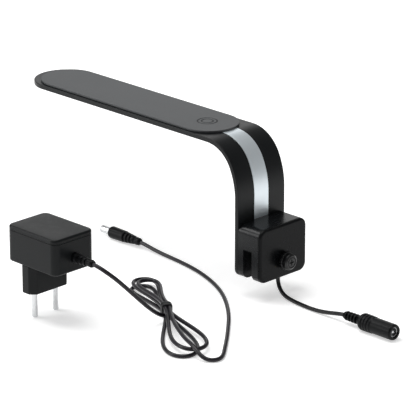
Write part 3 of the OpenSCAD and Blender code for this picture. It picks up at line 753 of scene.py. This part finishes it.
def hank_points(diameter):
    """The tied hank's line, from the tie's fan side to the last way out."""
    way = FAN_WAY.normalized()
    across = left_of(way)
    half_tie = 4.0 * MM

    def waist(end, side, level):
        at = TIE + way * half_tie * end + across * 0.52 * diameter * side
        return Vector((at.x, at.y, level_z(level, diameter) + 0.8 * MM))

    points = [waist(1, -1, 0), waist(-1, -1, 0)]
    for i, fold in enumerate(TAIL_FOLDS):
        points += loop_points(TIE - way * half_tie, fold, diameter)
        points += [waist(-1, 1, i), waist(1, 1, i)]
        if i < len(FAN_LOOPS):
            points += loop_points(TIE + way * half_tie, FAN_LOOPS[i], diameter)
            points += [waist(1, -1, i + 1), waist(-1, -1, i + 1)]
    top = level_z(len(FAN_LOOPS), diameter)
    points += [Vector((x * MM, y * MM, top)) for x, y in LEAVING]
    return points


# ---- operators ----


class Builds:
    """What every operator here shares: no undo step."""

    bl_options = {"REGISTER"}


class TANKLIGHT_OT_camera(Builds, bpy.types.Operator):
    """Make the camera"""

    bl_idname = "tanklight.camera"
    bl_label = "Camera"

    def execute(self, context):
        s = context.scene.tank_light.studio
        back = Vector((math.sin(s.azimuth) * math.cos(s.elevation),
                       -math.cos(s.azimuth) * math.cos(s.elevation), math.sin(s.elevation)))
        data = bpy.data.cameras.new("camera")
        data.lens = s.lens
        data.sensor_width = 36.0
        data.clip_start = 0.1
        camera = linked("camera", data)
        camera.location = Vector(s.target) + back * s.distance
        camera.rotation_euler = (-back).to_track_quat("-Z", "Y").to_euler()
        context.scene.camera = camera
        return {"FINISHED"}


class TANKLIGHT_OT_materials(Builds, bpy.types.Operator):
    """Make every finish"""

    bl_idname = "tanklight.materials"
    bl_label = "Finishes"

    def execute(self, context):
        make_materials(context.scene.tank_light.colours)
        return {"FINISHED"}


class TANKLIGHT_OT_socket(Builds, bpy.types.Operator):
    """Build the moulded socket on the lamp's lead"""

    bl_idname = "tanklight.socket"
    bl_label = "Lead socket"

    def execute(self, context):
        low, high, axis = round_x("socket_body")
        sleeve_low, sleeve_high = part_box("socket_contact")
        bore, barrel_r = (sleeve_high.y - sleeve_low.y) / 2 / MM, 5.6
        relief_end, collar_end = low.x + 13.5 * MM, low.x + 26 * MM
        corners = mm_from(low.x, (0, 0, 0), (0, 2.7, 0.5))
        for i in range(4):
            rib = 3.25 + 0.05 * i
            corners += mm_from(low.x + (1.5 + 2.8 * i) * MM, (0, 2.55 + 0.1 * i, 0.2),
                               (0.25, rib, 0.3), (1.35, rib, 0.3), (1.6, 2.6 + 0.1 * i, 0.2))
        corners += mm_from(relief_end, (-0.4, 3.05, 0.4), (2.6, 5.5, 0.8))
        for i in range(3):
            corners += mm_from(relief_end + (3.4 + 2.5 * i) * MM, (0, 5.5, 0.15), (0.3, 6, 0.3),
                               (1.7, 6, 0.3), (2, 5.5, 0.15))
        corners += mm_from(collar_end, (-0.7, 5.95, 0.25), (0, 5.95, 0.3), (1.1, barrel_r, 0.3))
        corners += mm_from(high.x, (-1.3, barrel_r, 0.6), (0, barrel_r - 0.5, 0.3),
                           (0, bore + 0.5, 0.3), (-0.7, bore, 0.2))
        corners += mm_from(sleeve_low.x, (-0.1, bore, 0), (-0.1, 0, 0))
        slots_start, core_r, slot_depth = low.x + 1.3 * MM, 3 * MM, 0.75 * MM

        def slots(place, radius, angle):
            """Flat slots on the relief's two sides, between its ribs."""
            in_relief = slots_start < place < relief_end
            if in_relief and radius < core_r and abs(math.cos(angle)) > 0.55:
                return radius - slot_depth
            return radius

        piece("lead_socket", *turned(filleted(corners, steps=4), "X", axis, 80, slots),
              "lamp", "mould_black", "socket_body")

        inner = bore - 0.35
        ring = filleted(mm_from(sleeve_low.x, (0, bore, 0))
                        + mm_from(sleeve_high.x, (0, bore, 0.1), (0, inner, 0.1))
                        + mm_from(sleeve_low.x, (0.6, inner, 0), (0.6, 0, 0)), steps=3)
        piece("lead_socket_sleeve", *turned([(sleeve_low.x, 0), *ring], "X", axis, 56),
              "lamp", "contact_metal", "socket_contact")
        low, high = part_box("socket_pin")
        r = (high.y - low.y) / 2
        pin = filleted([(low.x, 0, 0), (low.x, r, 0), (high.x, r, 0.8 * r), (high.x, 0, 0)],
                       steps=5)
        piece("lead_socket_pin", *turned(pin, "X", axis, 32),
              "lamp", "contact_metal", "socket_pin")
        return {"FINISHED"}


class TANKLIGHT_OT_plug(Builds, bpy.types.Operator):
    """Build the plug on the adapter's cord"""

    bl_idname = "tanklight.plug"
    bl_label = "Cord plug"

    def execute(self, context):
        low, high, axis = round_x("plug_body")
        start = low.x
        corners = mm_from(start, (3.6, 0, 0), (3.6, 2.75, 0), (0, 2.8, 0.3), (0, 4.05, 0.5),
                          (1.2, 4.5, 0.8), (14.5, 4.25, 0.8))
        for i in range(3):
            r = 4.1 - 0.32 * i
            corners += mm_from(start + (15.2 + 3.1 * i) * MM, (0, r, 0.25), (0.2, r - 1, 0.2),
                               (1.3, r - 1.05, 0.2), (1.5, r - 0.15, 0.25))
        corners += mm_from(high.x, (-6.2, 2.95, 0.6), (-5.2, 2.35, 0.5), (-4.2, 2.9, 0.6),
                           (-1.4, 2.75, 0.8), (0, 1.9, 0.3), (0, 0, 0))

        def bridged(place, radius, angle):
            """The slots are bridged on top and underneath."""
            along = (place - start) / MM
            if 15.0 < along < 23.2 and abs(math.sin(angle)) > 0.93:
                return max(radius, (4.0 - 0.1 * (along - 15)) * MM)
            return radius

        piece("cord_plug", *turned(filleted(corners, steps=4), "X", axis, 80, bridged),
              "adapter", "mould_black", "plug_body")

        low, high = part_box("plug_barrel")
        r = (high.y - low.y) / 2 / MM
        inner, groove = r - 0.5, r - 0.15
        barrel = filleted(mm_from(high.x, (0, inner, 0), (0, r, 0))
                          + mm_from(low.x, (2.3, r, 0.1), (2.1, groove, 0.1), (1.8, groove, 0.1),
                                    (1.6, r, 0.1), (0, r, 0.3), (0, inner, 0.15)),
                          closed=True, steps=4)
        piece("cord_plug_barrel", *turned(barrel, "X", axis, 64, closed=True),
              "adapter", "pin_nickel", "plug_barrel")

        low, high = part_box("plug_insert")
        r, bore, deep = (high.y - low.y) / 2 / MM, 1.05, 9
        insert = filleted(mm_from(high.x, (0, 0, 0), (0, r, 0))
                          + mm_from(low.x, (0, r, 0.2), (0, bore, 0.3), (deep, bore, 0),
                                    (deep, 0, 0)), steps=4)
        piece("cord_plug_insert", *turned(insert, "X", axis, 48),
              "adapter", "insert_white", "plug_insert")
        return {"FINISHED"}


class TANKLIGHT_OT_tie(Builds, bpy.types.Operator):
    """Build the two turns of the tie round the hank"""

    bl_idname = "tanklight.tie"
    bl_label = "Hank tie"

    def execute(self, context):
        s = context.scene.tank_light.cords
        way = FAN_WAY.normalized()
        across = left_of(way)
        thick, width = s.tie_thickness, s.tie_width
        half_w = 1.02 * s.diameter + 0.1 * MM
        low, top = FLOOR_Z + 1.3 * thick, FLOOR_Z + 0.8 * MM + 3 * s.diameter
        mid_z, half_h = (low + top) / 2, (top - low) / 2
        parts = []
        for i, offset in enumerate((-0.53, 0.53)):
            section = filleted([
                (-width / 2, 0, 0.2 * MM), (width / 2, 0, 0.2 * MM),
                (width / 2, thick, 0.3 * MM), (0.16 * width, thick, 0.2 * MM),
                (0.1 * width, 1.3 * thick, 0.2 * MM), (-0.1 * width, 1.3 * thick, 0.2 * MM),
                (-0.16 * width, thick, 0.2 * MM), (-width / 2, thick, 0.3 * MM),
            ], closed=True, steps=3)
            path = filleted([(sx * half_w, sz * half_h, 1.4 * MM)
                             for sx, sz in ((-1, -1), (1, -1), (1, 1), (-1, 1))], True, 6)
            rings = []
            for k, at in enumerate(path):
                ahead = (path[(k + 1) % len(path)] - path[k - 1]).normalized()
                outward = Vector((ahead.y, -ahead.x))
                ring = []
                for along, out in section:
                    q = at + outward * out
                    slant = 0.35 * MM * math.sin(math.tau * k / len(path) + 2.1 * i)
                    a = offset * width + along + slant
                    xy = TIE + way * a + across * q.x
                    ring.append((xy.x, xy.y, mid_z + q.y))
                rings.append(ring)
            parts.append(loft(rings, closed=True))
        piece("hank_tie", *joined(*parts), "adapter", "tie_black", "cord_tie")
        return {"FINISHED"}


class TANKLIGHT_OT_relief(Builds, bpy.types.Operator):
    """Build the slotted relief where the cord leaves the adapter"""

    bl_idname = "tanklight.relief"
    bl_label = "Adapter relief"

    def execute(self, context):
        low, high, axis = round_x("cord_relief")
        case_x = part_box("case_tub")[1].x
        r = (high.z - low.z) / 2 / MM
        corners = mm_from(low.x, (0, 0, 0), (0, r, 0.2))
        corners += mm_from(case_x, (0.1, r, 0.1), (2.2, r, 0.4), (2.8, r - 0.5, 0.2))
        for i in range(3):
            ridge = r - 0.28 - 0.26 * i
            corners += mm_from(case_x + (4.4 + 3.6 * i) * MM, (-0.1, ridge, 0.2),
                               (0, ridge - 0.9, 0.15), (1.5, ridge - 1, 0.15),
                               (1.6, ridge - 0.1, 0.2))
        corners += mm_from(high.x, (-1.2, 2.75, 0.5), (0, 2.3, 0.3), (0, 0, 0))

        def bridged(place, radius, angle):
            """Bridges between the rings, on top and underneath."""
            along = (place - case_x) / MM
            if 4.0 < along < 13.4 and abs(math.sin(angle)) > 0.9:
                return max(radius, (r - 0.3 - 0.075 * (along - 4)) * MM)
            return radius

        piece("adapter_relief", *turned(filleted(corners, steps=4), "X", axis, 80, bridged),
              "adapter", "mould_black", "cord_relief")
        return {"FINISHED"}


class TANKLIGHT_OT_cords(Builds, bpy.types.Operator):
    bl_idname = "tanklight.cords"
    bl_label = "Cords"

    def execute(self, context):
        s = context.scene.tank_light.cords
        sunk = Vector((s.sunk, 0, 0))
        lead_points = metres(LEAD_ROUTE)
        lead_points.append(lead_points[-1] + sunk)
        lead = cord_curve("lead", lead_points, s.diameter, "cord_black")
        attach(lead, "lamp")
        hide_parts("lead_cord")

        route = metres(ADAPTER_ROUTE)
        away = metres(PLUG_ROUTE)
        line = [route[0] - sunk] + route + hank_points(s.diameter) + away
        line.append(away[-1] - sunk)
        cord = cord_curve("adapter_cord_run", line, s.diameter, "hank_black")
        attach(cord, "adapter")
        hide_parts("adapter_cord", "cord_hank", "plug_cord")
        return {"FINISHED"}


class TANKLIGHT_OT_head(Builds, bpy.types.Operator):
    """Build the bent strip, its cover plate, painted shade in the touch mark's grooves and bright
    trim
    """

    bl_idname = "tanklight.head"
    bl_label = "Arm and head"

    def execute(self, context):
        e = context.scene.tank_light.edges
        softened("arm_shell", "arm", "lamp", "arm_black", e.arm)
        softened("head_cover", "cover_plate", "lamp", "cover_graphite", e.cover)
        softened("trim_strip", "trim", "lamp", "trim_silver", 0.18 * MM, segments=2)
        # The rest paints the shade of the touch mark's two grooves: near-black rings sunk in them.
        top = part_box("head_cover")[1].z
        low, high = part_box("touch_board")
        centre = ((low.x + high.x) / 2, 0.0)
        depth, sunk, width, mark_d = 0.3 * MM, 0.16 * MM, 0.84 * MM, 14.6 * MM
        rings = []
        for d in (mark_d, 0.62 * mark_d):
            r = d / 2 - 0.03 * MM
            section = filleted([(top - depth, r, 0), (top - depth, r - width, 0),
                                (top - sunk, r - width, 0.08 * MM), (top - sunk, r, 0.08 * MM)],
                               closed=True, steps=3)
            rings.append(turned(section, "Z", centre, 96, closed=True))
        piece("touch_groove_shade", *joined(*rings), "lamp", "arm_black", finish="mark_black")
        return {"FINISHED"}


class TANKLIGHT_OT_window(Builds, bpy.types.Operator):
    """Build the frosted window"""

    bl_idname = "tanklight.window"
    bl_label = "Lamp window"

    def execute(self, context):
        softened("lens", "window", "lamp", "window_frost", 0.25 * MM, segments=2)
        return {"FINISHED"}


class TANKLIGHT_OT_clamp(Builds, bpy.types.Operator):
    """Build the clamp block, its front plate, facing, insert and bush"""

    bl_idname = "tanklight.clamp"
    bl_label = "Clamp"

    def execute(self, context):
        e = context.scene.tank_light.edges
        softened("clamp_block", "block", "lamp", "clamp_black", e.block)
        softened("jaw_facing", "jaw_pad", "lamp", "soft_rubber", 0.25 * MM)
        softened("threaded_insert", "brass_insert", "lamp", "insert_brass", 0.12 * MM, segments=2)

        seam_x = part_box("clamp_block")[1].x
        low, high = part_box("front_plate")
        mid = (low + high) / 2
        corners = rectangle(low.yz, high.yz)
        steps = [(seam_x + 0.02 * MM, e.seam), (seam_x + e.seam, 0.05 * MM),
                 (seam_x + 0.4 * MM, 0.0)]
        steps += [(high.x - deep, inset) for deep, inset in rounding(e.rim, 6)]
        steps.append((high.x, e.rim + 1.5 * MM))
        rings = []
        for x, inset in steps:
            outline = filleted(inset_corners(corners, inset, 6 * MM), True, 12)
            rings.append([(x, mid.y + p.x, mid.z + p.y) for p in outline])
        # The plate takes the darker copy of the clamp's black: painted shade on its front face.
        plate = piece("front_plate_shell", *loft(rings), "lamp", "clamp_black", "front_plate",
                      "plate_black")
        axis_z = round_x("screw_knob")[2][1]
        hole = mm_from(seam_x, (-1, 0, 0), (-1, 3.25, 0))
        hole += mm_from(high.x, (-0.4, 3.25, 0), (0.1, 3.75, 0), (0.1, 0, 0))
        cut(plate, plain("hole", *turned([h[:2] for h in hole], "X", (0.0, axis_z), 56)))
        finished(plate, "lamp", "clamp_black", "front_plate", "plate_black")

        low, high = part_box("lead_grommet")
        r = (high.x - low.x) / 2
        bore = context.scene.tank_light.cords.diameter / 2 + 0.05 * MM
        bush = filleted([(low.z, bore, 0.2 * MM), (high.z, bore, 0.1 * MM), (high.z, r, 0.2 * MM),
                         (low.z, r, 0.3 * MM)], closed=True, steps=4)
        mid = (low + high) / 2
        piece("lead_bush", *turned(bush, "Z", mid.xy, 48, closed=True),
              "lamp", "soft_rubber", "lead_grommet")
        return {"FINISHED"}


class TANKLIGHT_OT_screw(Builds, bpy.types.Operator):
    """Build the clamp screw, its knob and the pressure pad"""

    bl_idname = "tanklight.screw"
    bl_label = "Screw, knob and pad"

    def execute(self, context):
        s = context.scene.tank_light.screw
        low, high, axis = round_x("screw_knob")
        x0, x1 = low.x, high.x
        collar_r = (high.y - low.y) / 2 / MM
        head_r = collar_r - 0.7
        collar_x = x0 + 0.42 * (x1 - x0)
        profile = filleted(
            mm_from(x0, (0, 0, 0), (0, collar_r - 0.5, 0.2), (0.5, collar_r, 0.3))
            + mm_from(collar_x, (-0.4, collar_r, 0.3), (0, collar_r - 0.5, 0.2),
                      (0, head_r - 0.9, 0.2), (0.6, head_r - 0.9, 0.2), (0.7, head_r - 0.1, 0.3))
            + mm_from(x1, (-1, head_r, 0.9), (-0.1, head_r - 1.2, 0.3), (-0.1, head_r - 1.9, 0.2),
                      (-0.6, head_r - 2.1, 0.15), (-0.6, head_r - 2.4, 0.15),
                      (-0.15, head_r - 2.6, 0.2), (0, 0.6, 0), (0, 0, 0)), steps=4)
        # rings close enough together that the flutes keep their shape
        fine = []
        for a, b in zip(profile, profile[1:]):
            count = max(1, math.ceil((b - a).length / (0.6 * MM)))
            fine += [a.lerp(b, k / count) for k in range(count)]
        fine.append(profile[-1])

        def fluted(place, radius, angle):
            """Flutes round the collar."""
            if place > collar_x + 0.01 * MM or radius < (collar_r - 0.8) * MM:
                return radius
            return radius - 0.55 * MM * max(0.0, math.cos(s.flutes * angle)) ** 2

        knob = piece("knob", *turned(fine, "X", axis, s.flutes * 10, fluted),
                     "screw", "knob_black", "screw_knob")
        length, width, deep, taper = 2.9 * MM, 0.55 * MM, 1.5 * MM, 0.55
        for a, b in ((width, length), (length, width)):
            rings = []
            for x, size in ((x1 - deep, taper), (x1 + 1 * MM, 1.0)):
                rings.append([(x, axis[0] + y * a * size, axis[1] + z * b * size)
                              for y, z in ((-1, -1), (1, -1), (1, 1), (-1, 1))])
            cut(knob, plain("cross", *loft(rings)))
        finished(knob, "screw", "knob_black", "screw_knob")

        low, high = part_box("clamp_screw")
        r = (high.y - low.y) / 2
        neck_end = low.x + 1.25 * MM
        steps = 10
        count = int((high.x - neck_end) / s.pitch * steps)
        places = [(low.x, 0), (low.x, r - 0.75 * MM), (low.x + 0.25 * MM, r - 0.5 * MM),
                  (neck_end - 0.1 * MM, r - 0.5 * MM)]
        places += [(neck_end + k * s.pitch / steps, r) for k in range(count + 1)]
        places.append((high.x, 0))

        def threaded(place, radius, angle):
            """A V thread that runs out at the neck."""
            if radius < r - 0.1 * MM:
                return radius
            phase = (place / s.pitch - angle / math.tau) % 1.0
            ridge = min(1.0, 2.6 * abs(phase - 0.5))
            lead_in = min(1.0, (place - neck_end) / s.pitch)
            return r - s.depth * (1 - ridge * lead_in)

        piece("screw_shaft", *turned(places, "X", axis, 60, threaded),
              "screw", "screw_steel", "clamp_screw", angle=50)

        seat = r - 0.45 * MM
        low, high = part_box("pressure_pad")
        r = (high.y - low.y) / 2
        pad = filleted([(low.x, 0, 0), (low.x, r, 0.2 * MM), (high.x, r, 0.35 * MM),
                        (high.x, seat + 1.5 * MM, 0), (high.x, seat, 0.12 * MM),
                        (high.x - 1 * MM, seat, 0), (high.x - 1 * MM, 0, 0)], steps=4)
        piece("pad_disc", *turned(pad, "X", axis, 72), "pad", "clamp_black", "pressure_pad")

        low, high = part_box("pad_facing")
        r = (high.y - low.y) / 2
        face = [(high.x, 0, 0), (high.x, r, 0), (low.x + 0.1 * MM, r, 0.2 * MM)]
        rings = 5
        for k in range(rings):
            at = r * (1 - (k + 0.5) / rings)
            face += [(low.x, at + 0.45 * MM, 0.15 * MM), (low.x, at + 0.2 * MM, 0.1 * MM),
                     (low.x + 0.2 * MM, at, 0.1 * MM), (low.x, at - 0.2 * MM, 0.1 * MM)]
        face.append((low.x, 0, 0))
        piece("pad_face", *turned(filleted(face, steps=2), "X", axis, 72),
              "pad", "soft_rubber", "pad_facing")
        return {"FINISHED"}


class TANKLIGHT_OT_adapter(Builds, bpy.types.Operator):
    """Build the mains adapter: case, lid, plug block and pins"""

    bl_idname = "tanklight.adapter"
    bl_label = "Mains adapter"

    def execute(self, context):
        e = context.scene.tank_light.edges
        low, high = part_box("case_tub")
        lid_low, lid_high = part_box("case_lid")
        case_z, mid = low.z, (low + high) / 2
        corners = rectangle(low, high)
        radius, wall, edge = 5 * MM, 2 * MM, e.case

        def case_ring(z, inset):
            outline = filleted(inset_corners(corners, inset, radius), True, 10)
            return [(mid.x + p.x, mid.y + p.y, z) for p in outline]

        tub = [case_ring(low.z + deep, inset) for deep, inset in reversed(rounding(edge))]
        tub += [case_ring(high.z - 0.5 * MM, 0.0), case_ring(high.z - 0.1 * MM, 0.12 * MM),
                case_ring(high.z, e.seam + 0.1 * MM), case_ring(high.z, wall),
                case_ring(low.z + wall, wall)]
        piece("case_bottom", *loft(tub), "adapter", "case_black", "case_tub")

        lid = [case_ring(lid_low.z, wall + 0.1 * MM), case_ring(high.z + 0.02 * MM, wall + 0.1 * MM),
               case_ring(high.z + 0.02 * MM, e.seam + 0.1 * MM),
               case_ring(high.z + 0.3 * MM, 0.05 * MM), case_ring(high.z + 0.6 * MM, 0.0)]
        lid += [case_ring(lid_high.z - deep - 0.12 * MM, inset) for deep, inset in rounding(edge)]
        lid += [case_ring(lid_high.z - 0.05 * MM, edge + 2.5 * MM),
                case_ring(lid_high.z, edge + 7 * MM)]
        piece("case_top", *loft(lid), "adapter", "case_black", "case_lid")

        low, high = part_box("plug_block")
        pins_low, pins_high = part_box("mains_pins")
        mid = (low + high) / 2
        w, h = (high.x - low.x) / 2, (high.y - low.y) / 2
        c = 2 * w * 0.28
        corners = [(-w, -h + c), (-w + c, -h), (w - c, -h), (w, -h + c),
                   (w, h - c), (w - c, h), (-w + c, h), (-w, h - c)]
        steps = [(low.z + deep, inset) for deep, inset in reversed(rounding(0.9 * MM))]
        steps += [(case_z - 0.5 * MM, 0.0), (case_z - 0.1 * MM, 0.25 * MM), (case_z, 0.5 * MM)]
        rings = []
        for z, inset in steps:
            outline = filleted(inset_corners(corners, inset, 1.6 * MM), True, 5)
            rings.append([(mid.x + p.x, mid.y + p.y, z) for p in outline])
        piece("plug_head", *loft(rings), "adapter", "case_black", "plug_block")

        r = (pins_high.x - pins_low.x) / 2
        parts = []
        for y in (pins_low.y + r, pins_high.y - r):
            pin = filleted([(pins_low.z, 0, 0), (pins_low.z, r, 0.95 * r), (low.z - 0.3 * MM, r, 0),
                            (low.z - 0.3 * MM, r + 0.45 * MM, 0.1 * MM),
                            (low.z + 0.5 * MM, r + 0.45 * MM, 0), (low.z + 0.5 * MM, 0, 0)], steps=8)
            parts.append(turned(pin, "Z", ((pins_low.x + pins_high.x) / 2, y), 48))
        piece("plug_pins", *joined(*parts), "adapter", "pin_nickel", "mains_pins")
        return {"FINISHED"}


class TANKLIGHT_OT_insides(Builds, bpy.types.Operator):
    """Finish the inner pieces, which keep their shapes"""

    bl_idname = "tanklight.insides"
    bl_label = "Inner pieces"

    def execute(self, context):
        slots = {s["node"]: s["material_slot"] for s in frame["record"]["subparts"]}
        for name, shown in frame["nodes"].items():
            if shown.hide_render:
                continue
            shown.data.materials.clear()
            shown.data.materials.append(MATERIALS[slots[name]])
        return {"FINISHED"}


class TANKLIGHT_OT_stage(Builds, bpy.types.Operator):
    """Make the floor and the lights"""

    bl_idname = "tanklight.stage"
    bl_label = "Stage"

    def execute(self, context):
        s = context.scene.tank_light
        half = s.studio.floor_half
        vertices = [(x, y, FLOOR_Z) for x, y in rectangle((-half, -half), (half, half))]
        floor = plain("floor", vertices, [(0, 1, 2, 3)])
        floor.data.materials.append(floor_finish(s.colours.floor))

        world = bpy.data.worlds.new("surround")
        world.use_nodes = True
        world.node_tree.nodes["Background"].inputs["Color"].default_value = (1, 1, 1, 1)
        world.node_tree.nodes["Background"].inputs["Strength"].default_value = s.studio.world
        context.scene.world = world
        context.scene.view_settings.view_transform = "Standard"

        lights = [
            ("overhead", (-0.35, -0.1, 1.5), 1.1, s.studio.key),
            ("left", (-1.1, -1.2, 0.42), 0.8, s.studio.side),
            ("rim", (-0.95, -0.5, 1.0), 0.5, s.studio.rim),
            ("behind", (-1.4, 1.4, 0.75), 1.2, s.studio.back),
        ]
        for name, place, size, power in lights:
            data = bpy.data.lights.new(name, "AREA")
            data.shape = "DISK"
            data.size = size
            data.energy = power
            lamp = linked(name, data)
            lamp.location = place
            lamp.rotation_euler = (-Vector(place)).to_track_quat("-Z", "Y").to_euler()
        return {"FINISHED"}


class TANKLIGHT_PT_build(bpy.types.Panel):
    """Steps of the tank light's build"""

    bl_label = "Tank light"
    bl_idname = "TANKLIGHT_PT_build"
    bl_space_type = "VIEW_3D"
    bl_region_type = "UI"
    bl_category = "Tank light"

    def draw(self, context):
        settings = context.scene.tank_light
        for step in STEPS:
            self.layout.operator(step.bl_idname)
        for name in ("edges", "cords", "screw", "colours", "studio"):
            group = getattr(settings, name)
            box = self.layout.box()
            for prop in group.bl_rna.properties.keys():
                if prop not in ("rna_type", "name"):
                    box.prop(group, prop)


STEPS = [
    TANKLIGHT_OT_camera, TANKLIGHT_OT_materials, TANKLIGHT_OT_socket, TANKLIGHT_OT_plug,
    TANKLIGHT_OT_tie, TANKLIGHT_OT_relief, TANKLIGHT_OT_clamp, TANKLIGHT_OT_cords,
    TANKLIGHT_OT_head, TANKLIGHT_OT_window, TANKLIGHT_OT_screw, TANKLIGHT_OT_adapter,
    TANKLIGHT_OT_insides, TANKLIGHT_OT_stage,
]
CLASSES = [EdgeSizes, CordSizes, ScrewSizes, Colours, Studio, TankLight, *STEPS,
           TANKLIGHT_PT_build]


def register():
    for made in CLASSES:
        bpy.utils.register_class(made)
    bpy.types.Scene.tank_light = PointerProperty(type=TankLight)


def unregister():
    del bpy.types.Scene.tank_light
    for made in reversed(CLASSES):
        bpy.utils.unregister_class(made)


def main():
    register()
    for step in STEPS:
        group, name = step.bl_idname.split(".")
        getattr(getattr(bpy.ops, group), name)()


if __name__ == "__main__":
    main()
